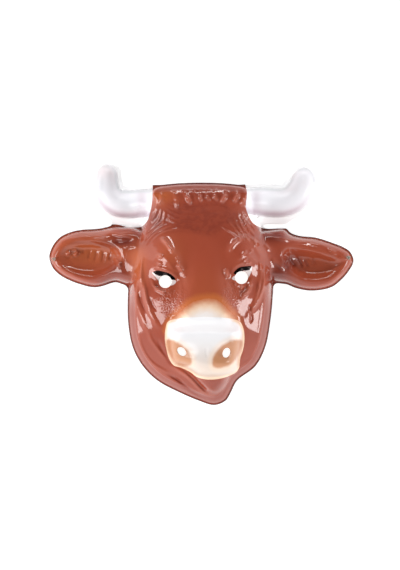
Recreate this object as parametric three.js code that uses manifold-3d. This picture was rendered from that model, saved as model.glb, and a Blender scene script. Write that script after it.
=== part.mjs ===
// A formed plastic bull mask that lies face up on its flat rim.
// One thin sheet is drawn over a mould: a head, two ears and two horns, with a raised nose bridge, muzzle
// and jaw. Units are millimetres, +Z points out of the face, +Y to the horns and +X to the viewer's right.

import * as THREE from 'three';
import { mergeVertices } from 'three/addons/utils/BufferGeometryUtils.js';
import Module from 'manifold-3d';

// Driving sizes of the sheet
const SHEET = 0.8;
const RIM_WIDTH = 1.6;
const HORN_RIM_WIDTH = 4.2;
const CORNER_ROUNDING = 5;
const JAW_ROUNDING = 4;
const BRIDGE_ROUNDING = 6;
const MUZZLE_ROUNDING = 3;
const EAR_ROUNDING = 6;
const HORN_ROUNDING = 4;
const STEEPEST_WALL = 5;
const SWELLING_MARGIN = 10;

// Driving sizes of the head and of the forms that rise from it
const HEAD_WIDTH = 135.5;
const HEAD_HEIGHT = 204.5;
const HEAD_DEPTH = 56;
const HEAD_SHOULDER = 44;
const BRIDGE_WIDTH = 64;
const BRIDGE_LENGTH = 92;
const BRIDGE_DEPTH = 75;
const BRIDGE_SHOULDER = 12.8;
const MUZZLE_WIDTH = 73;
const MUZZLE_HEIGHT = 56;
const MUZZLE_DEPTH = 88;
const MUZZLE_SHOULDER = 15;
const JAW_WIDTH = 60;
const JAW_HEIGHT = 42;
const JAW_DEPTH = 52;
const JAW_SHOULDER = 12;

// Driving sizes of the ears and horns
const EAR_LENGTH = 76.5;
const EAR_WIDTH = 54;
const EAR_DEPTH = 25;
const EAR_SHOULDER = 9;
const EAR_DISH_DEPTH = 8;
const EAR_DISH_SHOULDER = 9;
const HORN_REACH = 37.5;
const HORN_RISE = 28.2;
const HORN_WIDTH = 25.6;
const HORN_DEPTH = 15;

// Driving sizes of the holes and of the elastic
const EYE_HOLE = 11.7;
const NOSTRIL_HOLE_LONG = 9.2;
const NOSTRIL_HOLE_SHORT = 6.6;
const CORD_DIAMETER = 1.6;
const CORD_HOLE = 2.8;
const KNOT_DIAMETER = 4.2;
const SEAT_GAP = 0.3;

// Mesh fineness: the spacing of the surface's vertices, and the strip by the rim where they draw together
const SPACING = 4.5;
const GATHER_REACH = 9;
const GATHER_EDGE = 0.45;
const SNAP_SHARE = 0.38;
const SLOPE_STEP = 0.05;

// Head sections from chin to crown: up in head heights, left and right in half widths, crest in depths
const HEAD_SECTIONS = [
  { up: 0.0, left: -0.19, right: 0.19, crest: 0.7 },
  { up: 0.02, left: 0.02, right: 0.345, crest: 0.71 },
  { up: 0.06, left: 0.3, right: 0.42, crest: 0.74 },
  { up: 0.11, left: 0.58, right: 0.5, crest: 0.78 },
  { up: 0.175, left: 0.78, right: 0.75, crest: 0.84 },
  { up: 0.26, left: 0.92, right: 0.885, crest: 0.93 },
  { up: 0.375, left: 0.985, right: 0.955, crest: 1.0 },
  { up: 0.52, left: 0.985, right: 0.995, crest: 1.0 },
  { up: 0.645, left: 0.955, right: 1.0, crest: 0.96 },
  { up: 0.75, left: 0.885, right: 0.93, crest: 0.92 },
  { up: 0.84, left: 0.79, right: 0.8, crest: 0.87 },
  { up: 0.92, left: 0.71, right: 0.715, crest: 0.82 },
  { up: 0.98, left: 0.655, right: 0.66, crest: 0.78 },
  { up: 1.0, left: 0.4, right: 0.42, crest: 0.76 },
];

// Nose bridge sections from the muzzle to the forehead
const BRIDGE_SECTIONS = [
  { up: 0.0, left: 0.9, right: 0.95, crest: 1.0 },
  { up: 0.2, left: 1.0, right: 1.0, crest: 0.96 },
  { up: 0.45, left: 0.72, right: 0.76, crest: 0.87 },
  { up: 0.66, left: 0.62, right: 0.66, crest: 0.79 },
  { up: 0.85, left: 0.62, right: 0.66, crest: 0.73 },
  { up: 1.0, left: 0.4, right: 0.4, crest: 0.69 },
];

// Muzzle sections from the lip to the crease under the bridge
const MUZZLE_SECTIONS = [
  { up: 0.0, left: -0.02, right: 0.27, crest: 0.86 },
  { up: 0.035, left: 0.19, right: 0.54, crest: 0.88 },
  { up: 0.11, left: 0.35, right: 0.79, crest: 0.92 },
  { up: 0.19, left: 0.6, right: 0.87, crest: 0.95 },
  { up: 0.225, left: 0.775, right: 0.875, crest: 0.96 },
  { up: 0.33, left: 0.89, right: 0.89, crest: 0.98 },
  { up: 0.5, left: 0.965, right: 0.97, crest: 1.0 },
  { up: 0.67, left: 1.0, right: 1.0, crest: 1.0 },
  { up: 0.835, left: 0.98, right: 0.97, crest: 0.97 },
  { up: 0.94, left: 0.925, right: 0.88, crest: 0.92 },
  { up: 1.0, left: 0.6, right: 0.6, crest: 0.88 },
];

// Jaw sections from the chin to the place where the muzzle covers it
const JAW_SECTIONS = [
  { up: 0.0, left: -0.12, right: 0.38, crest: 0.74 },
  { up: 0.2, left: 0.16, right: 0.68, crest: 0.84 },
  { up: 0.45, left: 0.52, right: 0.84, crest: 0.94 },
  { up: 0.75, left: 0.9, right: 0.98, crest: 1.0 },
  { up: 1.0, left: 0.8, right: 0.8, crest: 1.0 },
];

// Ear sections from root to tip: out in ear lengths, upper and lower in half widths, crest in depths
const LEFT_EAR_SECTIONS = [
  { out: -0.25, upper: 0.7, lower: 0.7, crest: 1.1 },
  { out: 0.0, upper: 1.08, lower: 1.0, crest: 1.0 },
  { out: 0.12, upper: 1.08, lower: 0.93, crest: 0.92 },
  { out: 0.2, upper: 1.09, lower: 0.87, crest: 0.82 },
  { out: 0.37, upper: 0.98, lower: 1.01, crest: 0.66 },
  { out: 0.47, upper: 0.95, lower: 1.04, crest: 0.58 },
  { out: 0.6, upper: 0.93, lower: 0.96, crest: 0.53 },
  { out: 0.74, upper: 0.85, lower: 0.82, crest: 0.5 },
  { out: 0.87, upper: 0.67, lower: 0.62, crest: 0.47 },
  { out: 0.96, upper: 0.36, lower: 0.36, crest: 0.44 },
  { out: 1.0, upper: 0.0, lower: 0.0, crest: 0.42 },
];
const RIGHT_EAR_SECTIONS = [
  { out: -0.25, upper: 0.7, lower: 0.7, crest: 1.1 },
  { out: 0.0, upper: 0.91, lower: 0.93, crest: 1.0 },
  { out: 0.15, upper: 0.95, lower: 0.955, crest: 0.9 },
  { out: 0.22, upper: 0.8, lower: 0.97, crest: 0.8 },
  { out: 0.33, upper: 0.72, lower: 1.07, crest: 0.68 },
  { out: 0.52, upper: 0.705, lower: 1.12, crest: 0.57 },
  { out: 0.75, upper: 0.55, lower: 0.96, crest: 0.5 },
  { out: 0.86, upper: 0.45, lower: 0.7, crest: 0.47 },
  { out: 0.95, upper: 0.3, lower: 0.36, crest: 0.44 },
  { out: 1.0, upper: 0.0, lower: 0.0, crest: 0.42 },
];

// The dish inside each ear, in the same columns, where crest is the share of the dish's full depth
const LEFT_DISH_SECTIONS = [
  { out: 0.1, upper: 0.0, lower: 0.0, crest: 1.0 },
  { out: 0.2, upper: 0.42, lower: 0.42, crest: 1.0 },
  { out: 0.4, upper: 0.56, lower: 0.72, crest: 1.0 },
  { out: 0.65, upper: 0.55, lower: 0.7, crest: 0.9 },
  { out: 0.84, upper: 0.4, lower: 0.46, crest: 0.7 },
  { out: 0.95, upper: 0.0, lower: 0.0, crest: 0.6 },
];
const RIGHT_DISH_SECTIONS = [
  { out: 0.1, upper: 0.0, lower: 0.0, crest: 1.2 },
  { out: 0.18, upper: 0.28, lower: 0.35, crest: 1.2 },
  { out: 0.35, upper: 0.3, lower: 0.75, crest: 1.1 },
  { out: 0.6, upper: 0.26, lower: 0.78, crest: 1.0 },
  { out: 0.82, upper: 0.1, lower: 0.52, crest: 0.8 },
  { out: 0.93, upper: 0.0, lower: 0.0, crest: 0.6 },
];

// Horn centre lines from root to tip: out in reaches, up in rises, girth in half widths, crest in depths
const LEFT_HORN_STATIONS = [
  { out: -0.05, up: 0.0, girth: 1.0, crest: 1.7 },
  { out: 0.12, up: 0.0, girth: 1.0, crest: 1.5 },
  { out: 0.43, up: -0.03, girth: 1.0, crest: 1.15 },
  { out: 0.72, up: 0.02, girth: 0.98, crest: 1.05 },
  { out: 0.94, up: 0.25, girth: 0.95, crest: 1.0 },
  { out: 1.0, up: 0.58, girth: 0.87, crest: 0.9 },
  { out: 0.99, up: 0.98, girth: 0.77, crest: 0.8 },
];
const RIGHT_HORN_STATIONS = [
  { out: -0.05, up: 0.0, girth: 0.96, crest: 1.7 },
  { out: 0.12, up: 0.0, girth: 1.0, crest: 1.5 },
  { out: 0.4, up: -0.03, girth: 1.04, crest: 1.15 },
  { out: 0.7, up: -0.03, girth: 1.02, crest: 1.05 },
  { out: 0.96, up: 0.1, girth: 1.0, crest: 1.0 },
  { out: 1.15, up: 0.4, girth: 0.98, crest: 0.95 },
  { out: 1.24, up: 0.75, girth: 0.88, crest: 0.85 },
  { out: 1.25, up: 0.86, girth: 0.78, crest: 0.8 },
];

// The flat web of sheet between each horn and the ear below it, in the same columns
const WEB_STATIONS = [
  { out: 0.05, up: -0.55, girth: 0.34, crest: 0.0 },
  { out: 0.75, up: -0.55, girth: 0.34, crest: 0.0 },
];

// Swellings and hollows of the face: across in half widths, up in head heights, raise in sheet thicknesses
const SWELLINGS = [
  { name: 'left brow', across: -0.46, up: 0.675, wide: 0.28, tall: 0.125, raise: 11 },
  { name: 'right brow', across: 0.55, up: 0.69, wide: 0.28, tall: 0.12, raise: 11 },
  { name: 'left eye bed', across: -0.5, up: 0.55, wide: 0.26, tall: 0.06, raise: -7 },
  { name: 'right eye bed', across: 0.56, up: 0.56, wide: 0.26, tall: 0.06, raise: -7 },
  { name: 'left eye bag', across: -0.5, up: 0.49, wide: 0.24, tall: 0.06, raise: 4 },
  { name: 'right eye bag', across: 0.58, up: 0.5, wide: 0.24, tall: 0.06, raise: 4 },
  { name: 'left cheek', across: -0.68, up: 0.36, wide: 0.24, tall: 0.14, raise: 5 },
  { name: 'right cheek', across: 0.72, up: 0.36, wide: 0.22, tall: 0.14, raise: 5 },
  { name: 'hair fringe', across: 0.0, up: 0.93, wide: 0.7, tall: 0.055, raise: 4 },
];

// Eye holes in half widths and heights of the head, nostrils in those of the muzzle, turn in degrees
const EYES = [
  { across: -0.474, up: 0.558 },
  { across: 0.558, up: 0.576 },
];
const NOSTRILS = [
  { across: -0.576, up: 0.46, turn: 45 },
  { across: 0.541, up: 0.441, turn: -20 },
];
const NOSTRIL_CUP = { wide: 0.24, tall: 0.2, raise: -6 };

// Places of the forms on the head, in half widths and heights of the head
const MUZZLE_PLACE = { across: 0.06, up: 0.12 };
const BRIDGE_PLACE = { across: 0.06, up: 0.35 };
const JAW_PLACE = { across: 0.06, up: 0.035 };
const LEFT_EAR_PLACE = { across: -0.932, up: 0.67, droop: 0 };
const RIGHT_EAR_PLACE = { across: 0.966, up: 0.679, droop: 4.2 };
const LEFT_HORN_PLACE = { across: -0.727, up: 0.911 };
const RIGHT_HORN_PLACE = { across: 0.734, up: 0.919 };

// The elastic: its holes in ear lengths and half widths, and the points of its route between the ears
const LEFT_CORD_PLACE = { out: 0.94, upper: -0.08 };
const RIGHT_CORD_PLACE = { out: 0.935, upper: 0.1 };
const CORD_ROUTE = [
  [-126, 27],
  [-113, 24],
  [-98, 23],
  [-83, 24],
  [-69, 28],
  [-56, 37],
  [-46, 50],
  [-35, 62],
  [-19, 71],
  [0, 74],
  [19, 71],
  [35, 62],
  [46, 51],
  [57, 40],
  [70, 31],
  [84, 27],
  [99, 26],
  [114, 27],
  [126, 30],
];

// Curves and distances

// A value that runs smoothly through the rows of a table.
function readColumn(rows, key, value, position) {
  const last = rows.length - 1;
  let i = 0;
  while (i < last - 1 && position > rows[i + 1][key]) i += 1;
  const span = rows[i + 1][key] - rows[i][key];
  const t = THREE.MathUtils.clamp((position - rows[i][key]) / span, 0, 1);
  const ease = t * t * (3 - 2 * t);
  return THREE.MathUtils.lerp(rows[i][value], rows[i + 1][value], ease);
}

// The larger of two values, with the corner between them rounded over a given reach.
function roundedMax(a, b, reach) {
  const overlap = Math.max(reach - Math.abs(a - b), 0) / reach;
  return Math.max(a, b) + overlap * overlap * reach / 4;
}

// The rise of a shell from its edge: 0 at the edge, 1 from one shoulder width inwards.
function shoulder(distance, width, fullness) {
  if (distance <= 0) return 3 * distance / width;
  const rest = 1 - Math.min(distance / width, 1);
  return Math.pow(1 - Math.pow(rest, fullness), 1 / fullness);
}

// A form is drawn in sections along an axis. Its frame places a point by its share along and across.
function makeFrame(origin, degrees, length, halfWidth, mirrored) {
  const axis = new THREE.Vector2(1, 0).rotateAround(new THREE.Vector2(), THREE.MathUtils.degToRad(degrees));
  const side = new THREE.Vector2(-axis.y, axis.x).multiplyScalar(mirrored ? -1 : 1);
  const place = (along, across) => origin.clone()
    .addScaledVector(axis, along * length)
    .addScaledVector(side, across * halfWidth);
  const along = (x, y) => new THREE.Vector2(x, y).sub(origin).dot(axis) / length;
  return { place, along };
}

// The closed outline of a form: up one side of its sections and back down the other.
function sectionOutline(sections, frame, keys) {
  const [along, minus, plus] = keys;
  const points = [];
  for (const row of sections) points.push(frame.place(row[along], row[plus]));
  for (const row of [...sections].reverse()) {
    const point = frame.place(row[along], -row[minus]);
    const repeats = point.distanceTo(points[points.length - 1]) < 0.01 || point.distanceTo(points[0]) < 0.01;
    if (!repeats) points.push(point);
  }
  const stations = points.map((point) => new THREE.Vector3(point.x, point.y, 0));
  const curve = new THREE.CatmullRomCurve3(stations, true, 'centripetal');
  return curve.getPoints(stations.length * 5);
}

// A smooth distance from a point to a closed outline, positive inside it: the power -1/2 of half the sum,
// over the outline, of length over the cube of its distance. By a straight edge it is the plain distance,
// and in the middle it has no ridge where the nearest edge changes.
function insideDistance(outline, x, y) {
  let sum = 0;
  let inside = false;
  for (let i = 0; i + 1 < outline.length; i += 1) {
    const a = outline[i];
    const b = outline[i + 1];
    const length = Math.hypot(b.x - a.x, b.y - a.y);
    const start = ((a.x - x) * (b.x - a.x) + (a.y - y) * (b.y - a.y)) / length;
    const end = start + length;
    const toStart = Math.max(Math.hypot(a.x - x, a.y - y), 1e-6);
    const toEnd = Math.max(Math.hypot(b.x - x, b.y - y), 1e-6);
    if (start * end > 0) {
      sum += Math.abs((end * end - start * start) / (toStart * toEnd * (end * toStart + start * toEnd)));
    } else {
      const offset = Math.max(toStart * toStart - start * start, 1e-12);
      sum += (end / toEnd - start / toStart) / offset;
    }
    const crosses = (a.y > y) !== (b.y > y) && x < a.x + (y - a.y) * (b.x - a.x) / (b.y - a.y);
    if (crosses) inside = !inside;
  }
  const distance = Math.sqrt(2 / sum);
  return inside ? distance : -distance;
}

// The forms of the mask

const headOrigin = new THREE.Vector2(0, -HEAD_HEIGHT / 2);
const headFrame = makeFrame(headOrigin, 90, HEAD_HEIGHT, HEAD_WIDTH / 2, true);
const onHead = (place) => headFrame.place(place.up, place.across);
const muzzleFrame = makeFrame(onHead(MUZZLE_PLACE), 90, MUZZLE_HEIGHT, MUZZLE_WIDTH / 2, true);
const bridgeFrame = makeFrame(onHead(BRIDGE_PLACE), 90, BRIDGE_LENGTH, BRIDGE_WIDTH / 2, true);
const jawFrame = makeFrame(onHead(JAW_PLACE), 90, JAW_HEIGHT, JAW_WIDTH / 2, true);
const leftDroop = 180 + LEFT_EAR_PLACE.droop;
const rightDroop = -RIGHT_EAR_PLACE.droop;
const leftEarFrame = makeFrame(onHead(LEFT_EAR_PLACE), leftDroop, EAR_LENGTH, EAR_WIDTH / 2, true);
const rightEarFrame = makeFrame(onHead(RIGHT_EAR_PLACE), rightDroop, EAR_LENGTH, EAR_WIDTH / 2, false);

const FACE_KEYS = ['up', 'left', 'right'];
const EAR_KEYS = ['out', 'lower', 'upper'];

function makeForm(sections, frame, keys, depth, width, fullness) {
  const outline = sectionOutline(sections, frame, keys);
  const distance = (x, y) => insideDistance(outline, x, y);
  const crest = (x, y) => depth * readColumn(sections, keys[0], 'crest', frame.along(x, y));
  const height = (x, y, inset) => crest(x, y) * shoulder(distance(x, y) - inset, width, fullness);
  const hollow = (x, y) => crest(x, y) * THREE.MathUtils.smoothstep(distance(x, y), 0, width);
  return { distance, height, hollow };
}

const head = makeForm(HEAD_SECTIONS, headFrame, FACE_KEYS, HEAD_DEPTH, HEAD_SHOULDER, 2.2);
const bridge = makeForm(BRIDGE_SECTIONS, bridgeFrame, FACE_KEYS, BRIDGE_DEPTH, BRIDGE_SHOULDER, 1.6);
const muzzle = makeForm(MUZZLE_SECTIONS, muzzleFrame, FACE_KEYS, MUZZLE_DEPTH, MUZZLE_SHOULDER, 2.6);
const jaw = makeForm(JAW_SECTIONS, jawFrame, FACE_KEYS, JAW_DEPTH, JAW_SHOULDER, 2);
const leftEar = makeForm(LEFT_EAR_SECTIONS, leftEarFrame, EAR_KEYS, EAR_DEPTH, EAR_SHOULDER, 2);
const rightEar = makeForm(RIGHT_EAR_SECTIONS, rightEarFrame, EAR_KEYS, EAR_DEPTH, EAR_SHOULDER, 2);
const leftDish = makeForm(LEFT_DISH_SECTIONS, leftEarFrame, EAR_KEYS, EAR_DISH_DEPTH, EAR_DISH_SHOULDER, 2);
const rightDish = makeForm(RIGHT_DISH_SECTIONS, rightEarFrame, EAR_KEYS, EAR_DISH_DEPTH, EAR_DISH_SHOULDER, 2);

// A horn is a half-round tube of changing girth along a curved centre line.
function makeHorn(stations, place, sign) {
  const root = onHead(place);
  const points = stations.map((row) => new THREE.Vector3(
    root.x + sign * row.out * HORN_REACH, root.y + row.up * HORN_RISE, row.girth * HORN_WIDTH / 2));
  const line = new THREE.CatmullRomCurve3(points, false, 'centripetal').getPoints(points.length * 5);
  const nearest = (x, y) => {
    let best = { inside: -Infinity, girth: 1, along: 0 };
    for (let i = 0; i + 1 < line.length; i += 1) {
      const a = line[i];
      const b = line[i + 1];
      const dx = b.x - a.x;
      const dy = b.y - a.y;
      const t = THREE.MathUtils.clamp(((x - a.x) * dx + (y - a.y) * dy) / (dx * dx + dy * dy), 0, 1);
      const girth = THREE.MathUtils.lerp(a.z, b.z, t);
      const inside = girth - Math.hypot(x - a.x - t * dx, y - a.y - t * dy);
      if (inside > best.inside) best = { inside, girth, along: (i + t) / (line.length - 1) };
    }
    return best;
  };
  const ranks = stations.map((row, i) => ({ rank: i / (stations.length - 1), crest: row.crest }));
  const distance = (x, y) => nearest(x, y).inside;
  const height = (x, y) => {
    const near = nearest(x, y);
    return HORN_DEPTH * readColumn(ranks, 'rank', 'crest', near.along) * shoulder(near.inside, near.girth, 2);
  };
  return { distance, height };
}

const leftHorn = makeHorn(LEFT_HORN_STATIONS, LEFT_HORN_PLACE, -1);
const rightHorn = makeHorn(RIGHT_HORN_STATIONS, RIGHT_HORN_PLACE, 1);
const leftWeb = makeHorn(WEB_STATIONS, LEFT_HORN_PLACE, -1);
const rightWeb = makeHorn(WEB_STATIONS, RIGHT_HORN_PLACE, 1);

// The distance inwards from an outline round the head, ears and horns, with each form let out or drawn in.
function unitedDistance(x, y, headGrowth, hornGrowth) {
  let inside = head.distance(x, y) + headGrowth;
  for (const ear of [leftEar, rightEar]) {
    inside = roundedMax(inside, ear.distance(x, y) + headGrowth, CORNER_ROUNDING);
  }
  for (const horn of [leftHorn, rightHorn]) {
    inside = roundedMax(inside, horn.distance(x, y) + hornGrowth, CORNER_ROUNDING);
  }
  return inside;
}

// The cut edge of the sheet, and the line inside it where the wall leaves the flat rim.
function rimDistance(x, y) {
  let inside = unitedDistance(x, y, 0, HORN_RIM_WIDTH);
  for (const web of [leftWeb, rightWeb]) inside = roundedMax(inside, web.distance(x, y), CORNER_ROUNDING);
  return inside;
}
const footDistance = (x, y) => unitedDistance(x, y, -RIM_WIDTH, 0);

// The sum of the low swellings and hollows of the face at one point.
function swell(x, y) {
  let sum = 0;
  const add = (centre, wide, tall, raise) => {
    const reach = Math.hypot((x - centre.x) / wide, (y - centre.y) / tall);
    if (reach < 1) sum += raise * SHEET * (1 - reach * reach) ** 2;
  };
  for (const row of SWELLINGS) {
    add(onHead(row), row.wide * HEAD_WIDTH / 2, row.tall * HEAD_HEIGHT, row.raise);
  }
  for (const row of NOSTRILS) {
    const { wide, tall, raise } = NOSTRIL_CUP;
    add(muzzleFrame.place(row.up, row.across), wide * MUZZLE_WIDTH, tall * MUZZLE_HEIGHT, raise);
  }
  return sum;
}

// The height of the mould's surface above the rim.
function mouldHeight(x, y) {
  let height = head.height(x, y, RIM_WIDTH);
  height = roundedMax(height, jaw.height(x, y, 0), JAW_ROUNDING);
  height = roundedMax(height, bridge.height(x, y, 0), BRIDGE_ROUNDING);
  height = roundedMax(height, muzzle.height(x, y, 0), MUZZLE_ROUNDING);
  const pairs = [[leftEar, leftDish], [rightEar, rightDish]];
  for (const [ear, dish] of pairs) {
    const sunk = ear.height(x, y, RIM_WIDTH) - dish.hollow(x, y);
    height = roundedMax(height, sunk, EAR_ROUNDING);
  }
  for (const horn of [leftHorn, rightHorn]) height = roundedMax(height, horn.height(x, y), HORN_ROUNDING);
  const rise = THREE.MathUtils.smoothstep(head.distance(x, y), RIM_WIDTH, SWELLING_MARGIN);
  return Math.max(height + rise * swell(x, y), 0);
}

// The slope of a function of x and y.
function slopeOf(field, x, y) {
  const h = SLOPE_STEP;
  return new THREE.Vector2(
    (field(x + h, y) - field(x - h, y)) / (2 * h),
    (field(x, y + h) - field(x, y - h)) / (2 * h),
  );
}

// The flat net that is lifted to the surface

// Slides a point along the slope of a distance until the distance is 0 there.
function moveToLine(point, distance) {
  for (let step = 0; step < 4; step += 1) {
    const slope = slopeOf(distance, point.x, point.y);
    point.addScaledVector(slope, -distance(point.x, point.y) / slope.lengthSq());
  }
}

// A net of equal triangles over a rectangle round the origin.
function equalNet(width, height) {
  const rowHeight = SPACING * Math.sqrt(3) / 2;
  const columns = Math.ceil(width / SPACING) + 2;
  const rows = Math.ceil(height / rowHeight) + 2;
  const points = [];
  const triangles = [];
  for (let j = 0; j < rows; j += 1) {
    for (let i = 0; i < columns; i += 1) {
      points.push(new THREE.Vector2((i - (j % 2) / 2) * SPACING - width / 2, j * rowHeight - height / 2));
      if (i + 1 === columns || j + 1 === rows) continue;
      const a = j * columns + i;
      const c = a + columns;
      const pair = j % 2 ? [[a, a + 1, c], [a + 1, c + 1, c]] : [[a, a + 1, c + 1], [a, c + 1, c]];
      triangles.push(...pair);
    }
  }
  return { points, triangles, held: new Set() };
}

// Lays a row of vertices along the line where a distance is 0: near vertices move onto the line and stay
// there, and each triangle that the line still crosses is cut in two or three.
function layLine(net, distance) {
  const { points, held } = net;
  const values = points.map((point) => distance(point.x, point.y));
  values.forEach((value, vertex) => {
    if (Math.abs(value) > SNAP_SHARE * SPACING || held.has(vertex)) return;
    moveToLine(points[vertex], distance);
    values[vertex] = 0;
    held.add(vertex);
  });
  const cuts = new Map();
  const cutPoint = (a, b) => {
    const key = a < b ? `${a}_${b}` : `${b}_${a}`;
    if (!cuts.has(key)) {
      const point = points[a].clone().lerp(points[b], values[a] / (values[a] - values[b]));
      moveToLine(point, distance);
      cuts.set(key, points.push(point) - 1);
      values.push(0);
      held.add(points.length - 1);
    }
    return cuts.get(key);
  };
  const triangles = [];
  for (const triangle of net.triangles) {
    const sides = { inner: [], outer: [] };
    for (let k = 0; k < 3; k += 1) {
      const a = triangle[k];
      const b = triangle[(k + 1) % 3];
      if (values[a] >= 0) sides.inner.push(a);
      if (values[a] <= 0) sides.outer.push(a);
      if (values[a] * values[b] < 0) {
        const cut = cutPoint(a, b);
        sides.inner.push(cut);
        sides.outer.push(cut);
      }
    }
    const onLine = triangle.every((vertex) => values[vertex] === 0);
    const rings = onLine ? [sides.inner] : [sides.inner, sides.outer];
    for (const ring of rings) {
      if (ring.length >= 3) triangles.push([ring[0], ring[1], ring[2]]);
      if (ring.length === 4) triangles.push([ring[0], ring[2], ring[3]]);
    }
  }
  net.triangles = triangles;
  return values;
}

// Draws the vertices inside a line towards it, where the wall that rises from it is steep.
function gather(net, distance) {
  net.points.forEach((point, vertex) => {
    if (net.held.has(vertex)) return;
    const inside = distance(point.x, point.y);
    if (inside <= 0 || inside >= GATHER_REACH) return;
    const share = inside / GATHER_REACH;
    const target = GATHER_REACH * (GATHER_EDGE * share + (1 - GATHER_EDGE) * share * share);
    const slope = slopeOf(distance, point.x, point.y);
    point.addScaledVector(slope, (target - inside) / Math.max(slope.lengthSq(), 0.25));
  });
}

// The net of the whole sheet: rows of vertices along the foot of the wall, the muzzle and the cut edge.
function makeNet() {
  const width = HEAD_WIDTH + 2 * Math.max(EAR_LENGTH, HORN_REACH * 2);
  const height = HEAD_HEIGHT + 2 * (HORN_RISE + HORN_WIDTH);
  const net = equalNet(width, height);
  layLine(net, footDistance);
  layLine(net, muzzle.distance);
  const fromRim = layLine(net, rimDistance);
  net.triangles = net.triangles.filter((triangle) => {
    const values = triangle.map((vertex) => fromRim[vertex]);
    return Math.min(...values) >= 0 && Math.max(...values) > 0;
  });
  gather(net, footDistance);
  gather(net, muzzle.distance);
  return net;
}

// The sheet: the net lifted to the mould's height, a second net one thickness under it, and the cut edge.
function makeSheet() {
  const net = makeNet();
  const used = [...new Set(net.triangles.flat())];
  const rank = new Map(used.map((vertex, i) => [vertex, i]));
  const points = used.map((vertex) => net.points[vertex]);
  const triangles = net.triangles.map((triangle) => triangle.map((vertex) => rank.get(vertex)));
  const top = [];
  const bottom = [];
  for (const { x, y } of points) {
    const height = mouldHeight(x, y);
    const steepness = Math.min(slopeOf(mouldHeight, x, y).length(), STEEPEST_WALL);
    top.push(x, y, height + SHEET);
    bottom.push(x, y, Math.max(height + SHEET - SHEET * Math.hypot(1, steepness), 0));
  }
  const count = points.length;
  const index = [];
  const edges = new Map();
  for (const [a, b, c] of triangles) {
    index.push(a, b, c, a + count, c + count, b + count);
    for (const [from, to] of [[a, b], [b, c], [c, a]]) edges.set(`${from}_${to}`, [from, to]);
  }
  for (const [from, to] of edges.values()) {
    const isRim = !edges.has(`${to}_${from}`);
    if (isRim) index.push(to, from, from + count, to, from + count, to + count);
  }
  const geometry = new THREE.BufferGeometry();
  geometry.setAttribute('position', new THREE.Float32BufferAttribute([...top, ...bottom], 3));
  geometry.setIndex(index);
  return geometry;
}

// Joins and cuts

const wasm = await Module();
wasm.setup();

function toSolid(geometry) {
  const bare = geometry.clone();
  bare.deleteAttribute('normal');
  bare.deleteAttribute('uv');
  const merged = mergeVertices(bare, 1e-4);
  return new wasm.Manifold(new wasm.Mesh({
    numProp: 3,
    vertProperties: new Float32Array(merged.attributes.position.array),
    triVerts: new Uint32Array(merged.index.array),
  }));
}

function toGeometry(solid) {
  const mesh = solid.getMesh();
  const geometry = new THREE.BufferGeometry();
  geometry.setAttribute('position', new THREE.BufferAttribute(mesh.vertProperties, 3));
  geometry.setIndex(new THREE.BufferAttribute(mesh.triVerts, 1));
  return geometry;
}

// A straight punch of oval section that goes right through the sheet.
function makePunch(centre, long, short, degrees) {
  const shape = new THREE.Shape();
  shape.absellipse(0, 0, long / 2, short / 2, 0, Math.PI * 2, false, THREE.MathUtils.degToRad(degrees));
  const depth = MUZZLE_DEPTH * 1.5;
  const geometry = new THREE.ExtrudeGeometry(shape, { depth, bevelEnabled: false, curveSegments: 10 });
  geometry.translate(centre.x, centre.y, -depth / 8);
  return geometry;
}

const leftCordHole = leftEarFrame.place(LEFT_CORD_PLACE.out, LEFT_CORD_PLACE.upper);
const rightCordHole = rightEarFrame.place(RIGHT_CORD_PLACE.out, RIGHT_CORD_PLACE.upper);

function makeShell() {
  let solid = toSolid(makeSheet());
  const punches = [];
  for (const eye of EYES) punches.push(makePunch(onHead(eye), EYE_HOLE, EYE_HOLE, 0));
  for (const nostril of NOSTRILS) {
    const centre = muzzleFrame.place(nostril.up, nostril.across);
    punches.push(makePunch(centre, NOSTRIL_HOLE_LONG, NOSTRIL_HOLE_SHORT, nostril.turn + 90));
  }
  for (const hole of [leftCordHole, rightCordHole]) punches.push(makePunch(hole, CORD_HOLE, CORD_HOLE, 0));
  for (const punch of punches) solid = solid.subtract(toSolid(punch));
  return toGeometry(solid);
}

// The elastic and its knots

// Where the knot sits: on the outside of the ear, over its hole, one gap clear of the sloping sheet.
function knotCentre(hole) {
  const lift = Math.hypot(1, slopeOf(mouldHeight, hole.x, hole.y).length());
  const height = mouldHeight(hole.x, hole.y) + SHEET + lift * (SEAT_GAP + KNOT_DIAMETER / 2);
  return new THREE.Vector3(hole.x, hole.y, height);
}

// The elastic hangs from one knot, lies on the ground under the mask and rises to the other knot.
function makeCord() {
  const ground = CORD_DIAMETER / 2 + SEAT_GAP;
  const start = knotCentre(leftCordHole);
  const end = knotCentre(rightCordHole);
  const below = KNOT_DIAMETER / 2 + SEAT_GAP;
  const points = [
    new THREE.Vector3(start.x, start.y, start.z - below),
    new THREE.Vector3(start.x + 0.5, start.y, (start.z - below) * 0.55),
    ...CORD_ROUTE.map(([x, y]) => new THREE.Vector3(x, y, ground)),
    new THREE.Vector3(end.x - 0.5, end.y, (end.z - below) * 0.55),
    new THREE.Vector3(end.x, end.y, end.z - below),
  ];
  const path = new THREE.CatmullRomCurve3(points, false, 'centripetal');
  const section = new THREE.Shape();
  section.absarc(0, 0, CORD_DIAMETER / 2, 0, Math.PI * 2, false);
  return new THREE.ExtrudeGeometry(section, { steps: 72, extrudePath: path, curveSegments: 4 });
}

// Assembly

const painted = { metalness: 0, roughness: 0.25 };
const shellMaterial = new THREE.MeshStandardMaterial({ color: 0x9d4833, ...painted });
const cordMaterial = new THREE.MeshStandardMaterial({ color: 0xa39a90, metalness: 0, roughness: 0.8 });
const knotMaterial = new THREE.MeshStandardMaterial({ color: 0x8c8379, metalness: 0, roughness: 0.8 });

const mask = new THREE.Group();

const shell = new THREE.Mesh(makeShell(), shellMaterial);
shell.name = 'mask_shell';
mask.add(shell);

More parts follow.
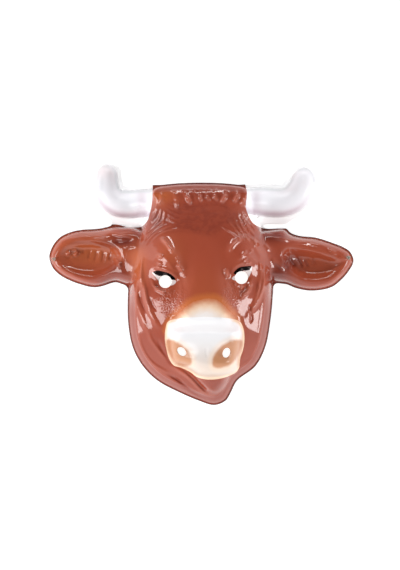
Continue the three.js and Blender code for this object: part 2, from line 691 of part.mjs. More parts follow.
const cord = new THREE.Mesh(makeCord(), cordMaterial);
cord.name = 'elastic_cord';
mask.add(cord);

for (const [name, hole] of [['cord_knot_left', leftCordHole], ['cord_knot_right', rightCordHole]]) {
  const knot = new THREE.Mesh(new THREE.SphereGeometry(KNOT_DIAMETER / 2, 10, 8), knotMaterial);
  knot.name = name;
  knot.position.copy(knotCentre(hole));
  mask.add(knot);
}

// The origin is under the middle of the mask's box, on the surface that the rim lies on.
const box = new THREE.Box3().setFromObject(shell);
mask.position.set(-(box.min.x + box.max.x) / 2, -(box.min.y + box.max.y) / 2, 0);

export default mask;
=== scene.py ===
"""Looks of a formed plastic bull mask, built around its packed frame.

The mask is one thin sheet drawn over a mould, so its whole surface is worked out as a height over the flat
rim. Sheet maths is in millimetres and becomes metres when a mesh is made. +Z points out of the face, +Y to
the horns and +X to the viewer's right.
"""

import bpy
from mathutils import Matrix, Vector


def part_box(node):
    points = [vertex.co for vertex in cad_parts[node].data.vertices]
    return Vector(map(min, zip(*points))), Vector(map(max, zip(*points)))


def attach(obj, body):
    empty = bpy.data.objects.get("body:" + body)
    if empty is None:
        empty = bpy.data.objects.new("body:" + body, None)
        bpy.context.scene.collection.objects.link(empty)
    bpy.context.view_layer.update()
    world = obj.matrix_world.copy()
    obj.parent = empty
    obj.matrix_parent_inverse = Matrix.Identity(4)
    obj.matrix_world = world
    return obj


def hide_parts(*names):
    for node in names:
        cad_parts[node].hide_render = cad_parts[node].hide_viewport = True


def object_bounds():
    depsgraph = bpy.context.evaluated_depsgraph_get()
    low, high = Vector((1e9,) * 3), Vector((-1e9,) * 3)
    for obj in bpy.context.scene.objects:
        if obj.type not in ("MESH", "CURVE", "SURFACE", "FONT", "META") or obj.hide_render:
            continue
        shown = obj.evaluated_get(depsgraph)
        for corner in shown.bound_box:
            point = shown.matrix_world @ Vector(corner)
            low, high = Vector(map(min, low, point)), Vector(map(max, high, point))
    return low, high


bl_info = {
    "name": "Formed Bull Mask",
    "version": (1, 0, 0),
    "blender": (4, 5, 0),
    "location": "3D View > Sidebar > Bull Mask",
    "description": "Builds the painted sheet, elastic and studio of a formed plastic bull mask",
    "category": "Add Mesh",
}

import bpy
import numpy as np
from mathutils import Vector

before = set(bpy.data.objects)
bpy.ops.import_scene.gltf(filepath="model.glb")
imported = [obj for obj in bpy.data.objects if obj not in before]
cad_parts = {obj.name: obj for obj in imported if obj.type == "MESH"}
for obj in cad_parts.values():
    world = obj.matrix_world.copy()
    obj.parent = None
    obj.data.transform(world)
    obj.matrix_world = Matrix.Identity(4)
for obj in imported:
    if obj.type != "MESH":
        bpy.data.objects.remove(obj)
CAD_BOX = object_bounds()

MM = 0.001

# Head sections from chin to crown: up in head heights, left and right in half widths, crest in depths
HEAD_SECTIONS = [
    (0.0, -0.19, 0.19, 0.7),
    (0.02, 0.02, 0.345, 0.71),
    (0.06, 0.3, 0.42, 0.74),
    (0.11, 0.58, 0.5, 0.78),
    (0.175, 0.78, 0.75, 0.84),
    (0.26, 0.92, 0.885, 0.93),
    (0.375, 0.985, 0.955, 1.0),
    (0.52, 0.985, 0.995, 1.0),
    (0.645, 0.955, 1.0, 0.96),
    (0.75, 0.885, 0.93, 0.92),
    (0.84, 0.79, 0.8, 0.87),
    (0.92, 0.71, 0.715, 0.82),
    (0.98, 0.655, 0.66, 0.78),
    (1.0, 0.4, 0.42, 0.76),
]

# Nose bridge sections from the muzzle to the forehead, in the same columns
BRIDGE_SECTIONS = [
    (0.0, 0.9, 0.95, 1.0),
    (0.2, 1.0, 1.0, 0.95),
    (0.45, 0.8, 0.82, 0.85),
    (0.66, 0.74, 0.76, 0.75),
    (0.85, 0.6, 0.62, 0.65),
    (1.0, 0.3, 0.3, 0.5),
]

# Muzzle sections from the lip to the crease under the bridge
MUZZLE_SECTIONS = [
    (0.0, -0.02, 0.27, 0.86),
    (0.035, 0.19, 0.54, 0.88),
    (0.11, 0.35, 0.79, 0.92),
    (0.19, 0.6, 0.87, 0.95),
    (0.225, 0.775, 0.875, 0.96),
    (0.33, 0.89, 0.89, 0.98),
    (0.5, 0.965, 0.97, 0.995),
    (0.67, 1.0, 1.0, 0.995),
    (0.835, 0.98, 0.97, 0.97),
    (0.94, 0.925, 0.88, 0.92),
    (1.0, 0.6, 0.6, 0.88),
]

# Jaw sections from the chin to the place where the muzzle covers it
JAW_SECTIONS = [
    (0.0, -0.12, 0.38, 0.74),
    (0.2, 0.16, 0.68, 0.84),
    (0.45, 0.52, 0.84, 0.94),
    (0.75, 0.9, 0.98, 1.0),
    (1.0, 0.8, 0.8, 1.0),
]

# Ear sections from root to tip: out in ear lengths, lower and upper in half widths, crest in depths
LEFT_EAR_SECTIONS = [
    (-0.25, 0.7, 0.7, 1.1),
    (0.0, 1.0, 1.08, 1.0),
    (0.12, 0.93, 1.08, 0.92),
    (0.2, 0.87, 1.09, 0.82),
    (0.37, 1.01, 0.98, 0.66),
    (0.47, 1.04, 0.95, 0.58),
    (0.6, 0.96, 0.93, 0.53),
    (0.74, 0.82, 0.85, 0.5),
    (0.87, 0.62, 0.67, 0.47),
    (0.96, 0.36, 0.36, 0.44),
    (1.0, 0.0, 0.0, 0.42),
]
RIGHT_EAR_SECTIONS = [
    (-0.25, 0.7, 0.7, 1.1),
    (0.0, 0.93, 0.91, 1.0),
    (0.15, 0.955, 0.95, 0.9),
    (0.22, 0.97, 0.8, 0.8),
    (0.33, 1.07, 0.72, 0.68),
    (0.52, 1.12, 0.705, 0.57),
    (0.75, 0.96, 0.55, 0.5),
    (0.86, 0.7, 0.45, 0.47),
    (0.95, 0.36, 0.3, 0.44),
    (1.0, 0.0, 0.0, 0.42),
]

# The dish inside each ear, in the same columns, where crest is the share of the dish's full depth
LEFT_DISH_SECTIONS = [
    (0.1, 0.0, 0.0, 1.0),
    (0.2, 0.42, 0.42, 1.0),
    (0.4, 0.72, 0.56, 1.0),
    (0.65, 0.7, 0.55, 0.9),
    (0.84, 0.46, 0.4, 0.7),
    (0.95, 0.0, 0.0, 0.6),
]
RIGHT_DISH_SECTIONS = [
    (0.1, 0.0, 0.0, 1.2),
    (0.18, 0.35, 0.28, 1.2),
    (0.35, 0.75, 0.3, 1.1),
    (0.6, 0.78, 0.26, 1.0),
    (0.82, 0.52, 0.1, 0.8),
    (0.93, 0.0, 0.0, 0.6),
]

# Horn centre lines from root to tip: out in reaches, up in rises, girth in half widths, crest in depths
LEFT_HORN_STATIONS = [
    (-0.05, 0.0, 1.0, 1.7),
    (0.12, 0.0, 1.0, 1.5),
    (0.43, -0.03, 1.0, 1.15),
    (0.72, 0.02, 0.98, 1.05),
    (0.94, 0.25, 0.95, 1.0),
    (1.0, 0.58, 0.87, 0.9),
    (0.99, 0.94, 0.74, 0.8),
]
RIGHT_HORN_STATIONS = [
    (-0.05, 0.0, 0.96, 1.7),
    (0.12, 0.0, 1.0, 1.5),
    (0.4, -0.03, 1.04, 1.15),
    (0.7, -0.03, 1.02, 1.05),
    (0.96, 0.1, 1.0, 1.0),
    (1.15, 0.4, 0.98, 0.95),
    (1.22, 0.72, 0.84, 0.85),
    (1.23, 0.8, 0.72, 0.8),
]

# The flat web of sheet between each horn and the ear below it, in the same columns
WEB_STATIONS = [
    (0.05, -0.55, 0.34, 0.0),
    (0.75, -0.55, 0.34, 0.0),
]

# Swellings of the face: across in half widths, up, wide and tall in head shares, raise in sheet thicknesses
SWELLINGS = [
    ("left brow", -0.46, 0.675, 0.28, 0.125, 11),
    ("right brow", 0.55, 0.69, 0.28, 0.12, 11),
    ("left eye bed", -0.5, 0.55, 0.26, 0.06, -7),
    ("right eye bed", 0.56, 0.56, 0.26, 0.06, -7),
    ("left eye bag", -0.5, 0.49, 0.24, 0.06, 4),
    ("right eye bag", 0.58, 0.5, 0.24, 0.06, 4),
    ("left cheek", -0.68, 0.36, 0.24, 0.14, 1),
    ("right cheek", 0.72, 0.36, 0.22, 0.14, 1),
    ("hair fringe", 0.0, 0.93, 0.7, 0.055, 4),
]

# Places of the forms on the head, across in half widths and up in head heights, with the ears' droop
MUZZLE_PLACE = (0.06, 0.12)
BRIDGE_PLACE = (0.06, 0.35)
JAW_PLACE = (0.06, 0.035)
LEFT_EAR_PLACE = (-0.932, 0.67)
RIGHT_EAR_PLACE = (0.966, 0.679)
RIGHT_EAR_DROOP = 4.2
LEFT_HORN_PLACE = (-0.727, 0.911)
RIGHT_HORN_PLACE = (0.734, 0.919)

# Eye holes on the head; nostrils on the muzzle with their turn in degrees; cord holes on the ears
EYES = [(-0.474, 0.558), (0.558, 0.576)]
NOSTRILS = [(-0.576, 0.46, 45), (0.541, 0.441, -20)]
NOSTRIL_CUP = (0.24, 0.2, -6)
LEFT_CORD_PLACE = (0.94, -0.08)
RIGHT_CORD_PLACE = (0.935, 0.1)

# Low relief: name, half width and rise in millimetres, and a line of head shares (across, up)
BROW_FOLDS = [
    ("left brow", 3.0, 1.0, [(-0.69, 0.692), (-0.63, 0.733), (-0.54, 0.751), (-0.44, 0.731), (-0.36, 0.697),
                             (-0.29, 0.656), (-0.24, 0.611), (-0.19, 0.57), (-0.18, 0.511)]),
    ("right brow", 3.0, 1.0, [(0.38, 0.647), (0.39, 0.701), (0.46, 0.733), (0.56, 0.753), (0.65, 0.747),
                              (0.75, 0.715), (0.84, 0.67), (0.88, 0.62)]),
    ("left under brow", 1.7, 0.6, [(-0.65, 0.647), (-0.59, 0.674), (-0.52, 0.674), (-0.45, 0.652),
                                   (-0.39, 0.62), (-0.33, 0.588)]),
    ("right under brow", 1.7, 0.6, [(0.45, 0.62), (0.5, 0.652), (0.58, 0.67), (0.67, 0.67), (0.75, 0.647),
                                    (0.79, 0.615)]),
    ("left lid", 1.5, 0.9, [(-0.69, 0.602), (-0.63, 0.622), (-0.54, 0.618), (-0.43, 0.606), (-0.33, 0.584),
                            (-0.26, 0.557)]),
    ("right lid", 1.5, 0.9, [(0.39, 0.584), (0.45, 0.618), (0.54, 0.638), (0.65, 0.643), (0.73, 0.638)]),
    ("left lower lid", 1.3, 1.1, [(-0.67, 0.579), (-0.63, 0.543), (-0.55, 0.518), (-0.44, 0.514),
                                  (-0.34, 0.529)]),
    ("right lower lid", 1.3, 1.1, [(0.43, 0.548), (0.5, 0.532), (0.58, 0.532), (0.67, 0.552), (0.72, 0.584)]),
    ("left nose side", 1.6, 0.5, [(-0.26, 0.57), (-0.26, 0.52), (-0.28, 0.471), (-0.33, 0.421)]),
    ("right nose side", 1.6, 0.4, [(0.35, 0.62), (0.34, 0.584), (0.37, 0.538), (0.39, 0.489)]),
    ("left brow arc", 1.6, 2.1, [(-0.549, 0.753), (-0.488, 0.742), (-0.44, 0.724), (-0.399, 0.704),
                                 (-0.365, 0.689), (-0.345, 0.674)]),
    ("left brow dot", 1.0, 1.2, [(-0.324, 0.672), (-0.311, 0.663), (-0.297, 0.656)]),
    ("left brow dot", 1.0, 1.2, [(-0.304, 0.656), (-0.29, 0.648), (-0.282, 0.64)]),
    ("left brow corner", 1.7, 2.6, [(-0.317, 0.638), (-0.29, 0.629), (-0.256, 0.615), (-0.235, 0.602)]),
    ("left brow dot", 1.0, 1.2, [(-0.227, 0.6), (-0.215, 0.588), (-0.214, 0.579)]),
    ("left lid spot", 1.6, 1.8, [(-0.59, 0.667), (-0.543, 0.672), (-0.495, 0.67)]),
    ("left lid spot", 1.0, 1.2, [(-0.59, 0.635), (-0.549, 0.64), (-0.509, 0.634)]),
    ("left lid spot", 1.1, 1.2, [(-0.597, 0.62), (-0.556, 0.624), (-0.522, 0.624)]),
    ("left eye bag", 1.8, 1.6, [(-0.631, 0.532), (-0.577, 0.523), (-0.522, 0.514), (-0.454, 0.505)]),
    ("left eye bag crease", 1.2, -1.0, [(-0.618, 0.548), (-0.549, 0.53), (-0.468, 0.525)]),
    ("right brow arc", 1.7, 1.6, [(0.392, 0.683), (0.42, 0.704), (0.461, 0.724), (0.515, 0.74),
                                  (0.59, 0.756)]),
    ("right brow corner", 1.7, 2.8, [(0.7, 0.762), (0.734, 0.742), (0.761, 0.726), (0.768, 0.71)]),
    ("right lid spot", 1.1, 1.5, [(0.543, 0.67), (0.59, 0.686), (0.638, 0.697)]),
    ("right lid spot", 1.0, 1.3, [(0.57, 0.645), (0.604, 0.654), (0.638, 0.663)]),
    ("right lid spot", 1.0, 1.2, [(0.666, 0.686), (0.693, 0.695), (0.713, 0.704)]),
    ("right lid spot", 1.0, 1.3, [(0.608, 0.627), (0.625, 0.64), (0.645, 0.649)]),
    ("right lid spot", 1.0, 1.3, [(0.652, 0.629), (0.67, 0.64), (0.679, 0.649)]),
    ("right lid spot", 1.2, 1.5, [(0.813, 0.645), (0.813, 0.629), (0.818, 0.611)]),
    ("right nose spot", 1.6, 3.0, [(0.331, 0.618), (0.352, 0.595), (0.386, 0.572)]),
    ("right eye bag", 1.4, 2.7, [(0.72, 0.559), (0.672, 0.536), (0.645, 0.514), (0.59, 0.495),
                                 (0.522, 0.473)]),
    ("right eye bag crease", 1.3, -1.2, [(0.645, 0.552), (0.597, 0.525), (0.515, 0.493)]),
    ("right eye bag spot", 1.2, 1.6, [(0.543, 0.545), (0.554, 0.529), (0.556, 0.516)]),
    ("right eye bag spot", 1.0, 1.2, [(0.454, 0.561), (0.468, 0.55), (0.474, 0.538)]),
]
CHEEK_FOLDS = [
    ("left temple fold", 2.4, 1.8, [(-0.8, 0.674), (-0.8, 0.62), (-0.8, 0.566), (-0.75, 0.511),
                                    (-0.73, 0.462), (-0.67, 0.412), (-0.59, 0.367), (-0.48, 0.335)]),
    ("left outer fold", 2.4, 1.6, [(-0.9, 0.561), (-0.88, 0.511), (-0.86, 0.457), (-0.81, 0.412),
                                   (-0.75, 0.362), (-0.69, 0.317)]),
    ("right temple fold", 2.2, 1.8, [(0.87, 0.629), (0.88, 0.575), (0.84, 0.52), (0.77, 0.471), (0.69, 0.425),
                                     (0.62, 0.38)]),
    ("right outer fold", 2.0, 1.3, [(0.97, 0.593), (0.95, 0.529), (0.93, 0.466), (0.91, 0.394),
                                    (0.88, 0.321)]),
    ("right inner fold", 1.8, 1.2, [(0.79, 0.661), (0.82, 0.624), (0.82, 0.566), (0.77, 0.511),
                                    (0.69, 0.462)]),
    ("left jaw line", 1.5, 0.9, [(-0.87, 0.358), (-0.83, 0.285), (-0.7, 0.206), (-0.5, 0.158),
                                 (-0.28, 0.122)]),
    ("chin fold", 1.9, 2.2, [(-0.46, 0.19), (-0.32, 0.165), (-0.2, 0.14), (-0.1, 0.11), (0.0, 0.075),
                             (0.12, 0.05), (0.26, 0.035)]),
    ("chin crease", 1.5, -2.2, [(-0.5, 0.155), (-0.37, 0.13), (-0.24, 0.1), (-0.12, 0.068), (0.02, 0.04),
                                (0.17, 0.02)]),
    ("chin ridge", 1.6, 1.2, [(-0.05, 0.125), (0.05, 0.095), (0.16, 0.07), (0.26, 0.06)]),
    ("right chin line", 1.5, 1.0, [(0.41, 0.122), (0.4, 0.095), (0.37, 0.068), (0.31, 0.041)]),
    ("right jaw line", 1.5, 1.1, [(0.87, 0.312), (0.84, 0.262), (0.79, 0.219), (0.67, 0.186), (0.54, 0.17)]),
    ("right cheek crease", 1.5, -0.8, [(0.77, 0.294), (0.75, 0.249), (0.67, 0.213), (0.57, 0.19)]),
    ("left cheek line", 1.6, 0.8, [(-0.74, 0.357), (-0.66, 0.294), (-0.54, 0.24), (-0.43, 0.199)]),
    ("left cheek streak", 1.2, 1.2, [(-0.782, 0.674), (-0.798, 0.629), (-0.809, 0.584), (-0.829, 0.543)]),
    ("left cheek streak", 1.2, 1.3, [(-0.761, 0.548), (-0.741, 0.502), (-0.706, 0.457), (-0.659, 0.421)]),
    ("left cheek groove", 1.2, -1.3, [(-0.829, 0.52), (-0.809, 0.48), (-0.761, 0.439), (-0.713, 0.412)]),
    ("left cheek groove", 1.2, -1.0, [(-0.686, 0.493), (-0.631, 0.448), (-0.577, 0.421)]),
    ("right cheek streak", 1.2, 1.2, [(0.795, 0.575), (0.795, 0.529), (0.761, 0.489), (0.706, 0.452)]),
    ("right cheek streak", 1.2, 1.4, [(0.863, 0.62), (0.857, 0.548), (0.795, 0.48), (0.706, 0.421)]),
    ("right cheek groove", 1.2, -1.2, [(0.652, 0.462), (0.679, 0.425), (0.693, 0.389), (0.666, 0.362)]),
    ("left cheek crease", 1.6, -0.8, [(-0.59, 0.308), (-0.51, 0.249), (-0.41, 0.199), (-0.33, 0.167)]),
    ("muzzle crease", 3.2, -0.5, [(-0.26, 0.373), (-0.07, 0.378), (0.06, 0.378), (0.24, 0.378),
                                  (0.38, 0.373)]),
    ("lip groove", 1.6, -0.8, [(0.08, 0.271), (0.08, 0.24), (0.09, 0.213)]),
]
HAIR_FOLDS = [
    ("crown roll", 2.0, 0.3, [(-0.48, 0.982), (-0.28, 0.989), (-0.06, 0.991), (0.16, 0.986), (0.41, 0.989),
                              (0.6, 0.982)]),
    ("lock", 1.7, 0.75, [(-0.65, 0.959), (-0.6, 0.919), (-0.62, 0.882)]),
    ("lock", 1.7, 0.75, [(-0.55, 0.964), (-0.51, 0.928), (-0.49, 0.9)]),
    ("lock", 1.9, 0.9, [(-0.39, 0.973), (-0.33, 0.937), (-0.3, 0.9)]),
    ("lock", 1.9, 1.1, [(-0.24, 0.977), (-0.18, 0.941), (-0.13, 0.91)]),
    ("lock", 1.5, 0.9, [(-0.09, 0.982), (-0.06, 0.946), (-0.05, 0.91)]),
    ("lock", 1.5, 1.0, [(0.01, 0.982), (0.0, 0.946), (0.01, 0.914)]),
    ("lock", 1.5, 0.8, [(0.11, 0.986), (0.09, 0.955), (0.08, 0.923)]),
    ("lock", 1.5, 0.8, [(0.22, 0.986), (0.2, 0.955), (0.19, 0.923)]),
    ("lock", 1.9, 1.1, [(0.35, 0.982), (0.34, 0.946), (0.27, 0.914)]),
    ("lock", 1.9, 1.1, [(0.49, 0.982), (0.5, 0.95), (0.45, 0.91)]),
    ("lock", 1.9, 1.1, [(0.62, 0.973), (0.61, 0.932), (0.54, 0.905)]),
    ("lock tip", 1.4, 2.0, [(-0.201, 0.946), (-0.16, 0.928), (-0.119, 0.9)]),
    ("lock tip", 1.2, 1.5, [(-0.331, 0.919), (-0.317, 0.9), (-0.317, 0.882)]),
    ("lock tip", 1.2, 1.6, [(-0.031, 0.948), (-0.003, 0.932), (0.024, 0.914)]),
    ("lock tip", 1.2, 1.5, [(0.072, 0.943), (0.106, 0.932), (0.133, 0.919)]),
    ("lock tip", 1.2, 1.6, [(0.167, 0.948), (0.208, 0.932), (0.256, 0.919)]),
    ("lock tip", 1.5, 2.0, [(0.352, 0.957), (0.331, 0.932), (0.27, 0.91)]),
    ("lock tip", 1.4, 1.9, [(0.536, 0.955), (0.495, 0.934), (0.447, 0.914)]),
    ("lock tip", 1.4, 1.9, [(0.611, 0.937), (0.584, 0.916), (0.536, 0.898)]),
    ("lock tip", 1.2, 1.5, [(-0.522, 0.941), (-0.536, 0.923), (-0.57, 0.9)]),
    ("left strand", 0.9, 1.1, [(-0.86, 0.74), (-0.78, 0.765), (-0.69, 0.792), (-0.6, 0.823),
                               (-0.53, 0.86)]),
    ("left strand", 0.9, 1.1, [(-0.8, 0.728), (-0.72, 0.76), (-0.62, 0.792), (-0.53, 0.815), (-0.42, 0.835)]),
    ("left strand", 0.9, 1.1, [(-0.76, 0.714), (-0.68, 0.751), (-0.57, 0.783), (-0.45, 0.801),
                               (-0.32, 0.815)]),
    ("left strand", 0.9, 1.0, [(-0.7, 0.724), (-0.61, 0.756), (-0.5, 0.778), (-0.36, 0.79), (-0.22, 0.797)]),
    ("left strand", 0.9, 1.2, [(-0.68, 0.825), (-0.62, 0.855), (-0.58, 0.885)]),
    ("left strand", 0.9, 1.2, [(-0.6, 0.815), (-0.55, 0.845), (-0.53, 0.885)]),
    ("left strand", 0.9, 1.2, [(-0.52, 0.812), (-0.49, 0.845), (-0.48, 0.88)]),
    ("right strand", 1.0, 0.9, [(0.5, 0.886), (0.52, 0.846), (0.57, 0.805), (0.65, 0.769), (0.74, 0.733)]),
    ("right strand", 1.0, 0.9, [(0.56, 0.873), (0.59, 0.837), (0.65, 0.801), (0.74, 0.765), (0.84, 0.733)]),
    ("right strand", 0.9, 1.1, [(0.46, 0.855), (0.48, 0.823), (0.54, 0.787), (0.62, 0.756), (0.7, 0.724)]),
    ("right strand", 0.9, 1.1, [(0.64, 0.846), (0.71, 0.81), (0.81, 0.778), (0.92, 0.76)]),
    ("right strand", 0.9, 1.0, [(0.34, 0.846), (0.42, 0.814), (0.5, 0.778), (0.58, 0.747)]),
    ("right strand", 0.9, 1.0, [(0.25, 0.81), (0.34, 0.787), (0.43, 0.769), (0.52, 0.747)]),
]
EAR_FOLDS = [
    ("left lower rim", 1.6, 1.0, [(-2.02, 0.719), (-2.04, 0.679), (-2.01, 0.645), (-1.89, 0.611),
                                  (-1.72, 0.581), (-1.53, 0.559), (-1.34, 0.554), (-1.19, 0.57)]),
    ("left upper rim", 1.6, 1.3, [(-1.98, 0.724), (-1.89, 0.742), (-1.71, 0.753), (-1.51, 0.762),
                                  (-1.3, 0.756), (-1.12, 0.744)]),
    ("left dish crease", 1.6, -1.0, [(-1.86, 0.726), (-1.61, 0.736), (-1.44, 0.733), (-1.29, 0.719),
                                     (-1.14, 0.701)]),
    ("left ear fold", 1.3, 1.0, [(-1.31, 0.785), (-1.12, 0.771), (-0.89, 0.762)]),
    ("left ear fold", 1.2, 0.8, [(-1.37, 0.794), (-1.16, 0.787), (-0.96, 0.783), (-0.8, 0.787)]),
    ("left ear crease", 1.5, -1.0, [(-1.26, 0.769), (-1.07, 0.756), (-0.9, 0.753)]),
    ("left ear crease", 2.0, -1.6, [(-1.2, 0.742), (-1.04, 0.733), (-0.88, 0.747)]),
    ("left rib", 1.3, -0.9, [(-1.23, 0.699), (-1.225, 0.675), (-1.235, 0.65)]),
    ("left rib", 1.1, -0.7, [(-1.32, 0.706), (-1.32, 0.675), (-1.35, 0.64)]),
    ("left rib", 1.0, -0.6, [(-1.41, 0.708), (-1.42, 0.675), (-1.45, 0.645)]),
    ("left rib", 1.0, -0.5, [(-1.5, 0.708), (-1.51, 0.68), (-1.54, 0.655)]),
    ("left rib", 1.0, -0.45, [(-1.58, 0.706), (-1.6, 0.68)]),
    ("left dish bump", 1.6, 2.4, [(-1.72, 0.675), (-1.68, 0.69), (-1.66, 0.7)]),
    ("left dish bump", 1.5, 2.2, [(-1.83, 0.674), (-1.8, 0.685), (-1.76, 0.697)]),
    ("left root bump", 2.0, 1.8, [(-1.14, 0.63), (-1.11, 0.638), (-1.08, 0.648)]),
    ("left dish fold", 1.5, 1.0, [(-1.83, 0.674), (-1.78, 0.692), (-1.71, 0.701), (-1.64, 0.701)]),
    ("left dish fold", 1.3, 0.8, [(-1.78, 0.665), (-1.71, 0.679), (-1.66, 0.692)]),
    ("left dish edge", 1.5, 0.9, [(-1.96, 0.638), (-1.87, 0.62), (-1.75, 0.6), (-1.64, 0.586)]),
    ("left root fold", 1.8, 1.4, [(-1.18, 0.67), (-1.11, 0.64), (-1.08, 0.611)]),
    ("left root fold", 1.4, 1.0, [(-1.05, 0.715), (-0.95, 0.718), (-0.84, 0.717)]),
    ("right ear fold", 1.5, 1.3, [(0.75, 0.801), (0.93, 0.765), (1.14, 0.749), (1.4, 0.742), (1.68, 0.719),
                                  (1.88, 0.692)]),
    ("right ear crease", 1.2, -0.9, [(0.84, 0.801), (0.98, 0.776), (1.14, 0.762)]),
    ("right upper rim", 1.5, 1.1, [(1.03, 0.699), (1.21, 0.713), (1.49, 0.701), (1.68, 0.679),
                                   (1.81, 0.652)]),
    ("right upper rim", 1.3, 0.8, [(1.08, 0.713), (1.33, 0.726), (1.58, 0.71), (1.77, 0.683)]),
    ("right lower rim", 1.6, 1.0, [(1.31, 0.557), (1.54, 0.538), (1.77, 0.557), (1.91, 0.6), (2.0, 0.643)]),
    ("right rib", 1.3, -1.6, [(1.2, 0.674), (1.24, 0.647), (1.31, 0.624)]),
    ("right rib", 1.3, -1.3, [(1.29, 0.674), (1.35, 0.647), (1.4, 0.62)]),
    ("right rib", 1.3, -1.0, [(1.4, 0.665), (1.44, 0.638), (1.48, 0.62)]),
    ("right rib", 1.3, -0.7, [(1.51, 0.674), (1.54, 0.652), (1.57, 0.629)]),
    ("right ear root", 1.6, -1.6, [(1.16, 0.665), (1.16, 0.633), (1.23, 0.611)]),
    ("right tip fold", 1.6, 1.2, [(1.73, 0.704), (1.8, 0.692), (1.87, 0.679)]),
    ("right tip fold", 1.3, 1.0, [(1.91, 0.674), (1.98, 0.663), (2.03, 0.656)]),
    ("right root fold", 1.8, 1.6, [(0.95, 0.665), (1.02, 0.647), (1.09, 0.629), (1.14, 0.606)]),
    ("right root fold", 1.4, 1.2, [(0.86, 0.729), (0.92, 0.71), (0.95, 0.692)]),
]

# Painted areas as closed outlines of head shares (across, up)
WHITE_FADE = [(-0.47, 0.33), (-0.45, 0.38), (-0.3, 0.432), (-0.11, 0.48), (0.08, 0.495), (0.26, 0.488),
              (0.39, 0.446), (0.52, 0.403), (0.54, 0.33), (0.06, 0.271)]
LIDS = [
    [(-0.65, 0.602), (-0.58, 0.608), (-0.5, 0.603), (-0.41, 0.593), (-0.33, 0.568), (-0.37, 0.566),
     (-0.48, 0.579), (-0.58, 0.586)],
    [(0.45, 0.594), (0.52, 0.62), (0.61, 0.627), (0.7, 0.626), (0.67, 0.611), (0.58, 0.605), (0.5, 0.59)],
]
EYE_WHITES = [
    [(-0.66, 0.604), (-0.59, 0.589), (-0.5, 0.585), (-0.4, 0.571), (-0.325, 0.56), (-0.355, 0.545),
     (-0.44, 0.54), (-0.52, 0.55), (-0.6, 0.575)],
    [(0.425, 0.572), (0.49, 0.59), (0.58, 0.605), (0.655, 0.612), (0.705, 0.628), (0.69, 0.6), (0.64, 0.573),
     (0.56, 0.565), (0.48, 0.562)],
]
WHITE_HORNS = [
    [(-0.66, 1.02), (-0.65, 0.968), (-0.65, 0.937), (-0.66, 0.903), (-0.68, 0.871), (-0.72, 0.833),
     (-0.8, 0.807), (-0.9, 0.803), (-1.01, 0.806), (-1.13, 0.816), (-1.28, 0.818), (-1.57, 0.83),
     (-1.78, 0.87), (-1.78, 1.154), (-1.23, 1.199), (-0.82, 1.109)],
    [(0.61, 1.03), (0.63, 0.971), (0.63, 0.937), (0.62, 0.914), (0.62, 0.888), (0.65, 0.858), (0.71, 0.824),
     (0.77, 0.81), (0.84, 0.801), (0.96, 0.796), (1.06, 0.797), (1.14, 0.798), (1.36, 0.814), (1.77, 0.928),
     (1.77, 1.154), (1.23, 1.176), (0.75, 1.063)],
]
NOSTRIL_TANS = [
    [(-0.44, 0.294), (-0.3, 0.279), (-0.15, 0.231), (-0.14, 0.19), (-0.29, 0.188), (-0.4, 0.231)],
    [(0.55, 0.29), (0.52, 0.244), (0.39, 0.19), (0.19, 0.181), (0.19, 0.222), (0.31, 0.269), (0.43, 0.29)],
]

# Place of the head's middle in the part, and the elastic's route round it on the ground, in millimetres
HEAD_MIDDLE = (-1.0527, -11.751)
CORD_ROUTE = [(-126, 27), (-113, 24), (-98, 23), (-83, 24), (-69, 28), (-56, 37), (-46, 50), (-35, 62),
              (-19, 71), (0, 74), (19, 71), (35, 62), (46, 51), (57, 40), (70, 31), (84, 27), (99, 26),
              (114, 27), (126, 30)]
# The elastic's first bend under each knot: share of the knot's height, and how far inwards in millimetres
CORD_BEND = (0.55, 0.5)

# Soft patches: name, kind, across, up, half width across and up in head shares, strength. The kinds are warm
# spray, painted shade (dark, mauve and grey), a blush and pebbled skin; the warm patch on the left dish is
# painted sheen
PATCHES = [
    ("warm crown", "warm", -0.52, 0.955, 0.18, 0.05, 0.9),
    ("warm nose", "warm", 0.05, 0.52, 0.42, 0.1, 0.25),
    ("warm left brow", "warm", -0.4, 0.69, 0.2, 0.08, 0.35),
    ("warm left temple", "warm", -0.85, 0.63, 0.12, 0.09, 0.8),
    # Painted shade: dark patches in the ear roots, the right dish, the crown, by the left horn and on the
    # chin
    ("dark left ear root", "dark", -1.1, 0.735, 0.3, 0.03, 0.7),
    ("dark left ear foot", "dark", -1.1, 0.605, 0.2, 0.045, 0.5),
    ("dark right ear root", "dark", 1.0, 0.76, 0.24, 0.03, 0.6),
    ("dark right dish", "dark", 1.24, 0.65, 0.14, 0.04, 0.5),
    ("dark right ear foot", "dark", 1.08, 0.59, 0.16, 0.05, 0.6),
    ("dark crown", "dark", 0.05, 0.965, 0.5, 0.03, 0.35),
    ("dark left lock", "dark", -0.62, 0.83, 0.1, 0.06, 0.4),
    ("dark chin", "dark", 0.15, 0.09, 0.3, 0.06, 0.25),
    ("warm right dish", "warm", 1.6, 0.64, 0.4, 0.06, 0.25),
    # Painted sheen: the left dish made lighter and warmer where light catches it
    ("warm left dish", "warm", -1.5, 0.69, 0.45, 0.07, 0.9),
    ("left horn root", "mauve", -0.8, 0.93, 0.07, 0.05, 0.5),
    ("right horn root", "mauve", 0.76, 0.93, 0.06, 0.05, 0.45),
    ("grey left horn side", "grey", -1.355, 1.0, 0.05, 0.07, 0.6),
    ("grey left horn foot", "grey", -0.94, 0.905, 0.12, 0.03, 0.4),
    ("blush left horn", "blush", -1.3, 1.06, 0.16, 0.05, 0.5),
    ("blush right horn", "blush", 1.3, 1.02, 0.18, 0.06, 0.6),
    ("skin under left eye", "pebble", -0.37, 0.475, 0.16, 0.05, 2.0),
    ("skin under right eye", "pebble", 0.4, 0.49, 0.12, 0.05, 2.0),
    ("skin at left temple", "pebble", -0.78, 0.86, 0.1, 0.05, 2.0),
    ("skin at right temple", "pebble", 0.6, 0.8, 0.08, 0.06, 2.0),
]

